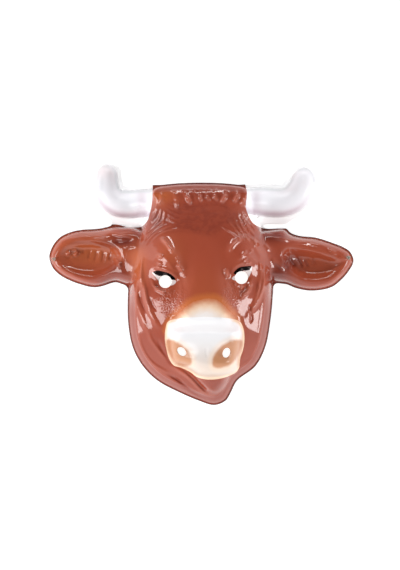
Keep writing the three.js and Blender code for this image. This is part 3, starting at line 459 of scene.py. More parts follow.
# The net's fineness: the share of its spacing within which a vertex snaps to a line, and the strips along
# two lines where vertices draw together, each a reach in millimetres and the spacing's share at the line
SNAP_SHARE = 0.38
FOOT_STRIP = (6.0, 0.12)
MUZZLE_STRIP = (7.0, 0.5)
SOFTENING_ROUNDS = 70
# Points that one distance sum takes at a time, so that it stays small in memory
BATCH = 8000
# A distance in millimetres that is past everything on the mask
FAR = 99.0
TUBE_SIDES = 10
KNOT_STEPS = 72

# Floor in metres: half its side, and how far it lies under the mask's rim
FLOOR_HALF = 2.5
FLOOR_DROP = 0.0001
# Lamps: name, width and height, place in metres, the power it takes and its share of that
LAMPS = [
    ("strip", (1.5, 0.13), (0.05, 1.39, 0.56), "key_power", 1.0),
    ("left_side", (0.48, 1.4), (-1.35, -0.22, 0.76), "side_power", 1.3),
    ("right_side", (0.42, 0.6), (1.35, -0.27, 0.57), "side_power", 0.65),
]
LAMP_TARGET = (0, 0, 0.03)


class Form:
    """One form of the mould: sections along an axis, the closed outline through their ends, and its rise."""

    def __init__(self, sections, origin, degrees, length, half_width, flip, depth, width, fullness):
        turn = np.radians(degrees)
        self.rows = np.array(sections)
        self.origin = np.array(origin)
        self.axis = np.array([np.cos(turn), np.sin(turn)])
        self.side = np.array([-self.axis[1], self.axis[0]]) * flip
        self.length = length
        self.half_width = half_width
        self.depth = depth
        self.width = width
        self.fullness = fullness
        along, minus, plus = self.rows[:, 0], self.rows[:, 1], self.rows[:, 2]
        ends = np.vstack([self.place(along, plus), self.place(along, -minus)[::-1]])
        apart = np.linalg.norm(ends - np.roll(ends, 1, axis=0), axis=1) > 0.01
        self.outline = spline(ends[apart], True)

    def place(self, along, across):
        """The point a share along the axis and a share of the half width across it."""
        out = np.multiply.outer(np.asarray(along) * self.length, self.axis)
        return self.origin + out + np.multiply.outer(np.asarray(across) * self.half_width, self.side)

    def distance(self, points):
        """How far each point is inside the form's outline, below 0 outside."""
        return near_distance(self.outline, points)

    def crest(self, points):
        """The form's full height at each point, read smoothly from its sections."""
        along = (points - self.origin) @ self.axis / self.length
        return self.depth * read_column(self.rows[:, 0], self.rows[:, 3], along)

    def height(self, points, distance, inset):
        """The crest times a shoulder that starts an inset inside the outline."""
        return self.crest(points) * shoulder(distance - inset, self.width, self.fullness)


class Horn:
    """A half-round tube whose girth changes along a curved centre line."""

    def __init__(self, stations, root, sign, sizes):
        rows = np.array(stations)
        self.ranks = np.linspace(0, 1, len(rows))
        self.crests = rows[:, 3]
        self.depth = sizes["horn_depth"]
        line = np.column_stack([
            root[0] + sign * rows[:, 0] * sizes["horn_reach"],
            root[1] + rows[:, 1] * sizes["horn_rise"],
            rows[:, 2] * sizes["horn_width"] / 2,
        ])
        self.line = spline(line, False)

    def nearest(self, points):
        """For each point: how far it is inside the tube's outline, the girth there and the share along."""
        a, b = self.line[:-1], self.line[1:]
        step = b - a
        to = points[:, None, :] - a[None, :, :2]
        length = (step[:, :2] ** 2).sum(1)
        t = np.clip((to * step[None, :, :2]).sum(2) / length, 0, 1)
        girth = a[:, 2] + t * step[:, 2]
        gap = np.linalg.norm(to - t[:, :, None] * step[None, :, :2], axis=2)
        best = np.argmax(girth - gap, axis=1)
        row = np.arange(len(points))
        along = (best + t[row, best]) / len(a)
        return girth[row, best] - gap[row, best], girth[row, best], along

    def distance(self, points):
        """How far each point is inside the tube's outline, below 0 outside."""
        return self.nearest(points)[0]

    def height(self, points):
        """The crest times a quarter circle from the outline to the centre line."""
        inside, girth, along = self.nearest(points)
        crest = self.depth * read_column(self.ranks, self.crests, along)
        return crest * shoulder(inside, girth, 2)


def spline(points, closed, per_piece=6):
    """A centripetal Catmull-Rom line: a cubic between each two points, with end slopes from its neighbours
    over the square roots of their distances."""
    points = np.asarray(points, dtype=float)
    if closed:
        padded = np.vstack([points[-1], points, points[:2]])
    else:
        padded = np.vstack([2 * points[0] - points[1], points, 2 * points[-1] - points[-2]])
    p0, p1, p2, p3 = padded[:-3], padded[1:-2], padded[2:-1], padded[3:]
    gap0, gap1, gap2 = (np.sqrt(np.linalg.norm(b - a, axis=1))[:, None] for a, b in
                        ((p0, p1), (p1, p2), (p2, p3)))
    slope1 = ((p1 - p0) / gap0 - (p2 - p0) / (gap0 + gap1) + (p2 - p1) / gap1) * gap1
    slope2 = ((p2 - p1) / gap1 - (p3 - p1) / (gap1 + gap2) + (p3 - p2) / gap2) * gap1
    t = np.linspace(0, 1, per_piece, endpoint=False)[None, :, None]
    a, b, c, d = (v[:, None, :] for v in (p1, slope1, 3 * (p2 - p1) - 2 * slope1 - slope2,
                                          2 * (p1 - p2) + slope1 + slope2))
    line = (a + b * t + c * t ** 2 + d * t ** 3).reshape(-1, points.shape[1])
    return np.vstack([line, points[0] if closed else points[-1]])


def smoothstep(low, high, value):
    """0 below low, 1 above high, and 3t squared less 2t cubed between them."""
    t = np.clip((value - low) / (high - low), 0, 1)
    return t * t * (3 - 2 * t)


def read_column(keys, values, position):
    """A column of a table as a cubic through its rows, each row's slope taken from its neighbours."""
    slopes = np.gradient(values, keys)
    i = np.clip(np.searchsorted(keys, position, side="left") - 1, 0, len(keys) - 2)
    gap = keys[i + 1] - keys[i]
    t = np.clip((position - keys[i]) / gap, 0, 1)
    u = 1 - t
    return ((1 + 2 * t) * u * u * values[i] + (1 + 2 * u) * t * t * values[i + 1]
            + t * u * gap * (u * slopes[i] - t * slopes[i + 1]))


def rounded_max(a, b, reach):
    """The larger of two values, plus a quarter of reach times the square of how nearly they are equal."""
    overlap = np.maximum(reach - np.abs(a - b), 0) / reach
    return np.maximum(a, b) + overlap ** 2 * reach / 4


def shoulder(distance, width, fullness):
    """A superellipse's quarter: from 0 at the edge to 1 from one width inwards, and below 0 outside."""
    rest = 1 - np.clip(distance / width, 0, 1)
    inner = (1 - rest ** fullness) ** (1 / fullness)
    return np.where(distance <= 0, 3 * distance / width, inner)


def walled_dome(distance, wall, width, share):
    """A steep wall that carries a share of the height, and a quarter of a sine wave that carries the rest."""
    dome = np.sin(np.clip(distance / width, 0, 1) * np.pi / 2)
    return share * shoulder(distance, wall, 2) + (1 - share) * dome


def inside_distance(outline, points):
    """A smooth distance to a closed outline, positive inside: the power -1/2 of half the sum, over its
    edges, of length over the cube of distance. By a straight edge it is the plain distance."""
    a, b = outline[:-1], outline[1:]
    step = b - a
    length = np.linalg.norm(step, axis=1)
    x, y = points[:, :1], points[:, 1:]
    start = ((a[:, 0] - x) * step[:, 0] + (a[:, 1] - y) * step[:, 1]) / length
    end = start + length
    to_start = np.maximum(np.hypot(a[:, 0] - x, a[:, 1] - y), 1e-6)
    to_end = np.maximum(np.hypot(b[:, 0] - x, b[:, 1] - y), 1e-6)
    past = start * end > 0
    beyond = to_start * to_end * (end * to_start + start * to_end)
    far = np.abs((end ** 2 - start ** 2) / np.where(past, beyond, 1.0))
    offset = np.maximum(to_start ** 2 - start ** 2, 1e-12)
    total = np.where(past, far, (end / to_end - start / to_start) / offset).sum(1)
    spans = (a[:, 1] > y) != (b[:, 1] > y)
    rise = np.where(step[:, 1] == 0, 1.0, step[:, 1])
    crosses = spans & (x < a[:, 0] + (y - a[:, 1]) * step[:, 0] / rise)
    inside = crosses.sum(1) % 2 == 1
    distance = np.sqrt(2 / total)
    return np.where(inside, distance, -distance)


def near_distance(outline, points, margin=30.0):
    """inside_distance within a margin of the outline's box, and minus the margin elsewhere."""
    low, high = outline.min(0) - margin, outline.max(0) + margin
    near = np.flatnonzero(((points > low) & (points < high)).all(1))
    distance = np.full(len(points), -margin)
    for part in np.array_split(near, max(1, len(near) // BATCH)):
        if len(part):
            distance[part] = np.maximum(inside_distance(outline, points[part]), -margin)
    return distance


def line_distance(line, points):
    """The plain distance to an open line, and the share of the line's length at its nearest point."""
    a, b = line[:-1], line[1:]
    step = b - a
    length = np.linalg.norm(step, axis=1)
    to = points[:, None, :] - a[None]
    t = np.clip((to * step).sum(2) / length ** 2, 0, 1)
    gap = np.linalg.norm(to - t[:, :, None] * step, axis=2)
    best = np.argmin(gap, axis=1)
    row = np.arange(len(points))
    before = np.concatenate([[0], np.cumsum(length)])
    return gap[row, best], (before[best] + t[row, best] * length[best]) / before[-1]


class Mould:
    """The mould's whole surface: head, bridge, muzzle, jaw, ears and horns over the flat rim."""

    def __init__(self, sizes):
        self.sizes = sizes
        width, height = sizes["head_width"] / 2, sizes["head_height"]
        self.head = Form(HEAD_SECTIONS, (0, -height / 2), 90, height, width, -1,
                         sizes["head_depth"], sizes["head_shoulder"], 2.2)
        self.muzzle = Form(MUZZLE_SECTIONS, self.on_head(MUZZLE_PLACE), 90, sizes["muzzle_height"],
                           sizes["muzzle_width"] / 2, -1, sizes["muzzle_depth"],
                           sizes["muzzle_shoulder"], 2.6)
        self.bridge = Form(BRIDGE_SECTIONS, self.on_head(BRIDGE_PLACE), 90, sizes["bridge_length"],
                           sizes["bridge_width"] / 2, -1, sizes["bridge_depth"],
                           sizes["bridge_shoulder"], 1.6)
        self.jaw = Form(JAW_SECTIONS, self.on_head(JAW_PLACE), 90, sizes["jaw_height"],
                        sizes["jaw_width"] / 2, -1, sizes["jaw_depth"], sizes["jaw_shoulder"], 2)
        ear = (sizes["ear_length"], sizes["ear_width"] / 2)
        rise = (sizes["ear_depth"], sizes["ear_shoulder"], 2)
        sink = (sizes["ear_dish_depth"], sizes["ear_dish_shoulder"], 2)
        left, right = self.on_head(LEFT_EAR_PLACE), self.on_head(RIGHT_EAR_PLACE)
        self.left_ear = Form(LEFT_EAR_SECTIONS, left, 180, *ear, -1, *rise)
        self.right_ear = Form(RIGHT_EAR_SECTIONS, right, -RIGHT_EAR_DROOP, *ear, 1, *rise)
        self.left_dish = Form(LEFT_DISH_SECTIONS, left, 180, *ear, -1, *sink)
        self.right_dish = Form(RIGHT_DISH_SECTIONS, right, -RIGHT_EAR_DROOP, *ear, 1, *sink)
        left, right = self.on_head(LEFT_HORN_PLACE), self.on_head(RIGHT_HORN_PLACE)
        self.horns = [Horn(LEFT_HORN_STATIONS, left, -1, sizes), Horn(RIGHT_HORN_STATIONS, right, 1, sizes)]
        self.webs = [Horn(WEB_STATIONS, left, -1, sizes), Horn(WEB_STATIONS, right, 1, sizes)]

    def on_head(self, place):
        """The point a share of the half width across and a share of the height up the head."""
        across, up = np.asarray(place, dtype=float).T
        half, height = self.sizes["head_width"] / 2, self.sizes["head_height"]
        return np.stack([across * half, (up - 0.5) * height], axis=-1)

    def head_shares(self, points):
        """How far across in half widths of the head and how far up in its heights each point lies."""
        return points[:, 0] / (self.sizes["head_width"] / 2), points[:, 1] / self.sizes["head_height"] + 0.5

    def united(self, points, head_growth, horn_growth):
        """The distance inwards from the outline round head, ears and horns, each let out or drawn in."""
        rounding = self.sizes["corner_rounding"]
        inside = self.head.distance(points) + head_growth
        for ear in (self.left_ear, self.right_ear):
            inside = rounded_max(inside, ear.distance(points) + head_growth, rounding)
        for horn in self.horns:
            inside = rounded_max(inside, horn.distance(points) + horn_growth, rounding)
        return inside

    def foot(self, points):
        """The line where the wall leaves the flat rim."""
        return self.united(points, -self.sizes["rim_width"], 0)

    def edge(self, points):
        """The cut edge of the sheet round its outside."""
        inside = self.united(points, 0, self.sizes["horn_rim_width"])
        for web in self.webs:
            inside = rounded_max(inside, web.distance(points), self.sizes["corner_rounding"])
        return inside

    def holes(self, points):
        """The distance outwards from the nearest hole: round for eyes and cord, oval for nostrils."""
        gap = np.full(len(points), FAR)
        for place in EYES:
            gap = np.minimum(gap, self.round_gap(points, self.on_head(place), self.sizes["eye_hole"]))
        for across, up, turn in NOSTRILS:
            angle = np.radians(turn)
            centre = self.muzzle.place(up, across)
            away = points - centre
            short = away @ np.array([np.cos(angle), np.sin(angle)]) / (self.sizes["nostril_short"] / 2)
            long = away @ np.array([-np.sin(angle), np.cos(angle)]) / (self.sizes["nostril_long"] / 2)
            gap = np.minimum(gap, (np.hypot(short, long) - 1) * self.sizes["nostril_short"] / 2)
        for ear, place in ((self.left_ear, LEFT_CORD_PLACE), (self.right_ear, RIGHT_CORD_PLACE)):
            gap = np.minimum(gap, self.round_gap(points, ear.place(*place), self.sizes["cord_hole"]))
        return gap

    @staticmethod
    def round_gap(points, centre, diameter):
        """How far each point is outside a round hole."""
        return np.linalg.norm(points - centre, axis=1) - diameter / 2

    def swell(self, points):
        """The sum of low swellings, each its raise times the square of one less the squared reach."""
        total = np.zeros(len(points))
        spots = [(self.on_head((across, up)), wide * self.sizes["head_width"] / 2,
                  tall * self.sizes["head_height"], rise) for _, across, up, wide, tall, rise in SWELLINGS]
        wide, tall, rise = NOSTRIL_CUP
        spots += [(self.muzzle.place(up, across), wide * self.sizes["muzzle_width"],
                   tall * self.sizes["muzzle_height"], rise) for across, up, _ in NOSTRILS]
        for centre, wide, tall, rise in spots:
            reach = (((points - centre) / (wide, tall)) ** 2).sum(1)
            total += rise * self.sizes["sheet"] * np.maximum(1 - reach, 0) ** 2
        return total

    def relief(self, points, folds):
        """The sum of folds: each its rise times the bell curve of distance over half width, eased to
        nothing at the ends of its line."""
        total = np.zeros(len(points))
        for _, wide, rise, shares in folds:
            line = spline(self.on_head(shares), False)
            low, high = line.min(0) - 3 * wide, line.max(0) + 3 * wide
            near = np.flatnonzero(((points > low) & (points < high)).all(1))
            if not len(near):
                continue
            gap, share = line_distance(line, points[near])
            ease = smoothstep(0, 0.3, share) * smoothstep(0, 0.3, 1 - share)
            total[near] += rise * ease * np.exp(-(gap / wide) ** 2)
        return total

    def softness(self, points):
        """1 on the brow, eyes, cheeks and ear roots, and above the muzzle; 0 by the rim, the muzzle, the
        horns and the dishes."""
        across, up = self.head_shares(points)
        clear = smoothstep(8, 16, self.edge(points)) * smoothstep(-3, -9, self.muzzle.distance(points))
        near_ears = smoothstep(0.0, 8.0, self.head.distance(points) + 8 * (1 - smoothstep(0.76, 0.8, up)))
        valley = smoothstep(0.5, 0.3, np.abs(across - 0.06)) * smoothstep(0.04, 0.02, np.abs(up - 0.37))
        face = clear * smoothstep(0.3, 0.4, up) * near_ears * smoothstep(1.35, 1.15, np.abs(across))
        return np.maximum(face, valley)

    def rim_ridge(self, points):
        """A low ridge round the lower face: a bell curve of the distance from its rim."""
        _, up = self.head_shares(points)
        ridge = np.exp(-((self.head.distance(points) - 7.5) / 1.4) ** 2)
        return 0.8 * (1 - smoothstep(0.42, 0.56, up)) * ridge

    def hair_waves(self, points):
        """Fine waves combed from a whorl in the forehead out to the temples: a sine across each strand,
        bent by two slower sines, and faded out by the border of the hair."""
        across, up = self.head_shares(points)
        reach = np.hypot((across + 0.02) / 0.66, (up - 0.845) / 0.085)
        field = 1 - smoothstep(0.6, 1.1, reach + 0.1 * np.sin(across * 11 + up * 37))
        comb = up * 205 + 9 * across ** 2 * np.sign(across) * 2 + 3.0 * np.sin(across * 8 + up * 25)
        wave = np.sin(comb * 1.15 + 1.5 * np.sin(across * 15)) + 0.5 * np.sin(comb * 2.1 + across * 11)
        return field, 0.1 * field * wave

    def height(self, points):
        """The mould's height above the rim: its forms rounded together, each the largest where it stands
        out, with a wall that grows steeper and squarer towards the crown, plus the swellings."""
        sizes = self.sizes
        rim = sizes["rim_width"]
        inside = self.head.distance(points)
        _, up = self.head_shares(points)
        squareness = smoothstep(0.8, 0.95, up)
        height = self.head.crest(points) * walled_dome(
            inside - rim, sizes["head_wall"] * (1 - 0.72 * squareness),
            sizes["head_shoulder"] * (1 - 0.7 * squareness), 0.55 + 0.4 * squareness)
        for form, key in ((self.jaw, "jaw"), (self.bridge, "bridge"), (self.muzzle, "muzzle")):
            rise = form.height(points, form.distance(points), 0)
            height = rounded_max(height, rise, sizes[key + "_rounding"])
        for ear, dish in ((self.left_ear, self.left_dish), (self.right_ear, self.right_dish)):
            sink = dish.crest(points) * smoothstep(0, dish.width, dish.distance(points))
            rise = ear.height(points, ear.distance(points), rim) - sink
            height = rounded_max(height, rise, sizes["ear_rounding"])
        for horn in self.horns:
            height = rounded_max(height, horn.height(points), sizes["horn_rounding"])
        return height + smoothstep(rim, sizes["swelling_margin"], inside) * self.swell(points)


class Net:
    """A flat net of near-equal triangles, cut along lines and drawn together beside steep walls."""

    def __init__(self, width, height, spacing):
        self.spacing = spacing
        row_height = spacing * np.sqrt(3) / 2
        columns = int(np.ceil(width / spacing)) + 2
        rows = int(np.ceil(height / row_height)) + 2
        i, j = np.meshgrid(np.arange(columns), np.arange(rows))
        x = (i - (j % 2) / 2) * spacing - width / 2
        y = j * row_height - height / 2
        self.points = np.column_stack([x.ravel(), y.ravel()])
        a = (j * columns + i)[:-1, :-1].ravel()
        odd = (j[:-1, :-1] % 2).ravel() == 1
        b, c, d = a + 1, a + columns, a + columns + 1
        first = np.where(odd[:, None], np.column_stack([a, b, c]), np.column_stack([a, b, d]))
        second = np.where(odd[:, None], np.column_stack([b, d, c]), np.column_stack([a, d, c]))
        self.triangles = np.vstack([first, second])
        self.held = np.zeros(len(self.points), dtype=bool)

    @staticmethod
    def slope(distance, points, step=0.05):
        """The slope of a distance, from its change over a short step each way."""
        along_x, along_y = np.array([step, 0]), np.array([0, step])
        dx = distance(points + along_x) - distance(points - along_x)
        dy = distance(points + along_y) - distance(points - along_y)
        return np.column_stack([dx, dy]) / (2 * step)

    def move_to_line(self, points, distance):
        """Slides points along the slope of a distance until it is 0 there, as Newton's method does."""
        for _ in range(3):
            slope = self.slope(distance, points)
            size = np.maximum((slope ** 2).sum(1), 0.05)
            points = points - slope * (distance(points) / size)[:, None]
        return points

    def lay_line(self, distance):
        """Moves near vertices onto the line where a distance is 0 and cuts the triangles it still crosses."""
        values = distance(self.points)
        near = np.flatnonzero((np.abs(values) < SNAP_SHARE * self.spacing) & ~self.held)
        self.points[near] = self.move_to_line(self.points[near], distance)
        values[near] = 0
        self.held[near] = True
        signs = np.sign(values[self.triangles])
        crossed = (signs.min(1) < 0) & (signs.max(1) > 0)
        cut, kept = self.triangles[crossed], [self.triangles[~crossed]]
        signs = signs[crossed]
        with_zero = (signs == 0).any(1)
        lone = np.where(with_zero, np.argmax(signs == 0, axis=1),
                        np.argmax(signs == -np.sign(signs.sum(1, keepdims=True)), axis=1))
        order = (lone[:, None] + np.arange(3)) % 3
        cut = np.take_along_axis(cut, order, axis=1)
        v0, v1, v2 = cut.T
        edges = np.vstack([np.column_stack([v1, v2])[with_zero], np.column_stack([v0, v1])[~with_zero],
                           np.column_stack([v0, v2])[~with_zero]])
        pairs, which = np.unique(np.sort(edges, axis=1), axis=0, return_inverse=True)
        which = which.ravel()
        start, end = values[pairs[:, 0]], values[pairs[:, 1]]
        share = (start / (start - end))[:, None]
        fresh = self.points[pairs[:, 0]] * (1 - share) + self.points[pairs[:, 1]] * share
        fresh = self.move_to_line(fresh, distance)
        which = which + len(self.points)
        count, pair = with_zero.sum(), (~with_zero).sum()
        p12, p01, p02 = which[:count], which[count:count + pair], which[count + pair:]
        z0, z1, z2 = cut[with_zero].T
        w0, w1, w2 = cut[~with_zero].T
        kept += [np.column_stack(c) for c in ((z0, z1, p12), (z0, p12, z2), (w0, p01, p02), (p01, w1, w2),
                                              (p01, w2, p02))]
        self.triangles = np.vstack(kept)
        self.points = np.vstack([self.points, fresh])
        self.held = np.concatenate([self.held, np.ones(len(fresh), dtype=bool)])
        return np.concatenate([values, np.zeros(len(fresh))])

    def keep_inside(self, values):
        """Drops the triangles outside a line, then the vertices that nothing uses."""
        corners = values[self.triangles]
        self.triangles = self.triangles[(corners.min(1) >= 0) & (corners.max(1) > 0)]
        used, self.triangles = np.unique(self.triangles, return_inverse=True)
        self.triangles = self.triangles.reshape(-1, 3)
        self.points, self.held = self.points[used], self.held[used]

    def gather(self, distance, reach, edge):
        """Draws free vertices towards a line: their distance becomes a mix of itself and its square."""
        inside = distance(self.points)
        move = np.flatnonzero(~self.held & (inside > 0) & (inside < reach))
        points, share = self.points[move], inside[move] / reach
        target = reach * (edge * share + (1 - edge) * share ** 2)
        slope = self.slope(distance, points)
        size = np.maximum((slope ** 2).sum(1), 0.25)
        self.points[move] = points + slope * ((target - inside[move]) / size)[:, None]


def vertex_normals(vertices, triangles):
    """Each vertex's normal: the sum of its triangles' area normals, made one long."""
    a, b, c = (vertices[triangles[:, k]] for k in range(3))
    face = np.cross(b - a, c - a)
    total = np.zeros_like(vertices)
    for k in range(3):
        for axis in range(3):
            total[:, axis] += np.bincount(triangles[:, k], face[:, axis], len(vertices))
    return total / np.maximum(np.linalg.norm(total, axis=1, keepdims=True), 1e-12)


def soften(values, triangles, share, rounds):
    """Draws each vertex's value towards the mean of its neighbours, round after round."""
    start, end = triangles.ravel(), triangles[:, [1, 2, 0]].ravel()
    uses = np.bincount(start, minlength=len(values)) + np.bincount(end, minlength=len(values))
    for _ in range(rounds):
        total = np.bincount(start, values[end], len(values)) + np.bincount(end, values[start], len(values))
        values = values + share * (total / uses - values)
    return values


def rim_strip(triangles, count):
    """Faces that close the wall between a surface and its copy count vertices on, along every open edge."""
    edges = np.vstack([triangles[:, [0, 1]], triangles[:, [1, 2]], triangles[:, [2, 0]]])
    _, first, uses = np.unique(np.sort(edges, axis=1), axis=0, return_index=True, return_counts=True)
    start, end = edges[first[uses == 1]].T
    return np.vstack([np.column_stack([end, start, start + count]),
                      np.column_stack([end, start + count, end + count])])


def new_mesh(name, vertices, faces, materials, attributes=None):
    """A mesh object at the origin from arrays of vertices in metres and equal-sided faces."""
    mesh = bpy.data.meshes.new(name)
    sides = faces.shape[1]
    mesh.vertices.add(len(vertices))
    mesh.vertices.foreach_set("co", np.ascontiguousarray(vertices, dtype=np.float32).ravel())
    mesh.loops.add(faces.size)
    mesh.loops.foreach_set("vertex_index", np.ascontiguousarray(faces, dtype=np.int32).ravel())
    mesh.polygons.add(len(faces))
    mesh.polygons.foreach_set("loop_start", np.arange(0, faces.size, sides, dtype=np.int32))
    for key, values in (attributes or {}).items():
        layer = mesh.attributes.new(key, "FLOAT", "POINT")
        layer.data.foreach_set("value", np.ascontiguousarray(values, dtype=np.float32))
    mesh.update(calc_edges=True)
    mesh.validate()
    for material in materials:
        mesh.materials.append(material)
    piece = bpy.data.objects.new(name, mesh)
    bpy.context.scene.collection.objects.link(piece)
    return piece


class Wire:
    """A shader socket that Python's arithmetic signs turn into Math nodes."""

    def __init__(self, paint, socket):
        self.paint = paint
        self.socket = socket

    def math(self, operation, *values, clamp=False):
        """A Math node on these values."""
        settings = {"operation": operation, "use_clamp": clamp}
        return self.paint.node("ShaderNodeMath", settings, dict(enumerate(values)))

    def __add__(self, other):
        return self.math("ADD", self, other)

    def __sub__(self, other):
        return self.math("SUBTRACT", self, other)

    def __rsub__(self, other):
        return self.math("SUBTRACT", other, self)

    def __mul__(self, other):
        return self.math("MULTIPLY", self, other)

    __radd__ = __add__
    __rmul__ = __mul__

    def clamp(self):
        """Kept between 0 and 1."""
        return self.math("ADD", self, 0.0, clamp=True)

    def sine(self):
        return self.math("SINE", self)

    def larger(self, other):
        return self.math("MAXIMUM", self, other)

    def step(self, low, high):
        """Smoothstep from 0 at low to 1 at high."""
        settings = {"interpolation_type": "SMOOTHSTEP"}
        values = {"Value": self, "From Min": low, "From Max": high}
        return self.paint.node("ShaderNodeMapRange", settings, values)


class Paint:
    """The nodes of a material or a world, all made by its node method."""

    def __init__(self, owner, coordinates="Object"):
        self.owner = owner
        owner.use_nodes = True
        self.tree = owner.node_tree
        self.tree.nodes.clear()
        self.place = self.node("ShaderNodeTexCoord", output=coordinates)

    def node(self, kind, settings=None, values=None, output=0):
        """A new node: its settings first, then a value or a link for each socket. Gives one output."""
        made = self.tree.nodes.new(kind)
        for key, value in (settings or {}).items():
            setattr(made, key, value)
        for key, value in (values or {}).items():
            if isinstance(value, Wire):
                self.tree.links.new(value.socket, made.inputs[key])
            else:
                made.inputs[key].default_value = value
        return Wire(self, made.outputs[output]) if made.outputs else None

    def attribute(self, name):
        """A number that the mesh keeps at each vertex."""
        return self.node("ShaderNodeAttribute", {"attribute_name": name}, output="Fac")

    def map(self, value, low, high, first, last):
        """A straight line from first at low to last at high, and level beyond."""
        return self.node("ShaderNodeMapRange", None, {"Value": value, "From Min": low, "From Max": high,
                                                      "To Min": first, "To Max": last})

    def mix(self, share, first, second):
        """first where share is 0 and second where it is 1, for colours."""
        return self.node("ShaderNodeMix", {"data_type": "RGBA"}, {0: share, 6: first, 7: second}, 2)

    def noise(self, scale, detail=3.0, roughness=0.5, distortion=0.0, place=None):
        """Cloudy noise from 0 to 1, with scale in clouds for each metre."""
        values = {"Vector": place or self.place, "Scale": scale, "Detail": detail, "Roughness": roughness,
                  "Distortion": distortion}
        return self.node("ShaderNodeTexNoise", None, values, "Fac")

    def finish(self, colour, roughness, height, distance, **constants):
        """Ends a material with one shader, and a bump whose height is in units of distance."""
        bump = self.node("ShaderNodeBump", None, {"Height": height, "Distance": distance, "Strength": 1.0},
                         "Normal")
        values = {"Base Color": colour, "Roughness": roughness, "Normal": bump}
        values.update(constants)
        shader = self.node("ShaderNodeBsdfPrincipled", None, values)
        self.node("ShaderNodeOutputMaterial", None, {"Surface": shader})
        return self.owner


def sheet_paint(colours):
    """Sprayed gloss paint: reddish brown, warm where sprayed again, with painted shade in the ear roots,
    grooves and walls, painted highlights on the folds, white muzzle, white horns with painted shade and a
    faint painted glow on their rim, black lids, tan nostrils and a thin dark line of painted shade round the
    cut edge."""
    paint = Paint(bpy.data.materials.new("painted_sheet"))

    # Brown coats: cloudy and warm where sprayed again, with painted highlights on the folds, painted shade in
    # the grooves and painted shade in the dark patches; the warm patch on the left dish is painted sheen
    relief = paint.attribute("relief")
    hair = paint.attribute("hair")
    cloudy = paint.noise(28.0, 3.0)
    fine = paint.noise(240.0, 2.0)
    colour = paint.mix(cloudy.step(0.35, 0.75) * 0.3, colours["brown"], colours["deep"])
    colour = paint.mix(paint.attribute("warm"), colour, colours["warm"])
    colour = paint.mix(hair * (0.4 + 0.3 * fine.step(0.4, 0.6)), colour, colours["hair"])
    # Painted highlight on the folds and painted shade in the grooves, both read from the relief
    colour = paint.mix((relief * 0.5).clamp() * 0.45, colour, colours["ridge"])
    colour = paint.mix((relief * -0.7).clamp() * 0.55, colour, colours["deep"])
    # Painted shade: the dark patches in the ear roots, the right dish, the crown, by the left horn and on the
    # chin
    colour = paint.mix(paint.attribute("dark"), colour, colours["shadow"])

    # The dull wall by the rim, darkened as painted shade, and the dark line of painted shade at the cut
    edge = paint.attribute("edge")
    wall = (1 - edge.step(5.0, 9.0)) * paint.attribute("wall")
    colour = paint.mix(wall * 0.7, colour, colours["deep"])
    colour = paint.mix((1 - edge.step(0.3, 1.3)) * 0.75, colour, colours["edge"])

    # The fade over the nose and the muzzle's pad, in millimetres from their outlines
    mottle = (cloudy - 0.5) * 3.0 + (fine - 0.5) * 2.0
    fade = paint.attribute("fade") + mottle
    muzzle = paint.attribute("muzzle")
    low = paint.attribute("low")
    colour = paint.mix(fade.step(-5.0, 2.0) * 0.8, colour, colours["orange"])
    colour = paint.mix(fade.step(2.0, 10.0), colour, colours["peach"])
    colour = paint.mix(fade.step(7.0, 16.0), colour, colours["white"])
    open_edge = muzzle.step(0.9, 3.0).larger(fade.step(3.0, 8.0))
    pad = paint.mix(open_edge, colours["peach"], paint.mix(low, colours["white"], colours["cream"]))
    colour = paint.mix(muzzle.step(-0.4, 0.3), colour, pad)

    # Nostrils
    nostril = paint.attribute("nostril") + (fine - 0.5) * 1.5
    colour = paint.mix(nostril.step(-8.0, -1.0) * muzzle.step(0.0, 1.0) * 0.5, colour, colours["peach"])
    colour = paint.mix(nostril.step(-2.8, 0.6) * 0.9, colour, colours["tan"])

    # Horns and their webs, with painted shade under and over them and a faint painted glow on their flat rim,
    # and the eyes
    horn = paint.attribute("horn")
    ivory = paint.mix(paint.attribute("mauve"), colours["horn"], colours["mauve"])
    ivory = paint.mix(paint.attribute("grey"), ivory, colours["grey"])
    ivory = paint.mix(paint.attribute("blush") * cloudy.step(0.3, 0.6), ivory, colours["blush"])
    rim = 1 - paint.attribute("tube").step(-1.2, 0.8)
    ivory = paint.mix(rim, ivory, colours["horn_rim"])
    whites = horn.step(-0.3, 0.4)
    # Painted light: the flat rim round the horns glows faintly so that it stays as white as the floor
    glow = paint.mix(whites * rim, (0, 0, 0, 1), (0.3, 0.3, 0.3, 1))
    colour = paint.mix(whites, colour, ivory)
    colour = paint.mix(paint.attribute("eye").step(-0.25, 0.35), colour, colours["eye_white"])
    lid = paint.attribute("lid").step(-0.25, 0.35)
    colour = paint.mix(lid, colour, colours["black"])

    # Gloss, pebbled skin and combed strands
    pale = whites.larger(muzzle.step(-0.4, 0.3)).larger(fade.step(0.0, 4.0))
    roughness = 0.06 + 0.24 * pale + 0.03 * cloudy + 0.03 * hair + 0.4 * wall * (1 - pale) * (1 - hair)
    pebble = paint.node("ShaderNodeTexVoronoi", {"feature": "SMOOTH_F1"},
                        {"Vector": paint.place, "Scale": 620.0, "Smoothness": 0.6}, "Distance")
    stipple = pebble * paint.attribute("pebble") * 1.6
    strands = paint.noise(900.0, 2.0, place=paint.node(
        "ShaderNodeMapping", None, {"Vector": paint.place, "Scale": (0.25, 1.0, 0.25)}))
    height = stipple + strands * hair * 0.8 + fine * 0.12 + cloudy * 0.1
    return paint.finish(colour, roughness, height, 0.0003,
                        **{"IOR": 1.5, "Metallic": lid, "Emission Color": glow, "Emission Strength": 1.0})


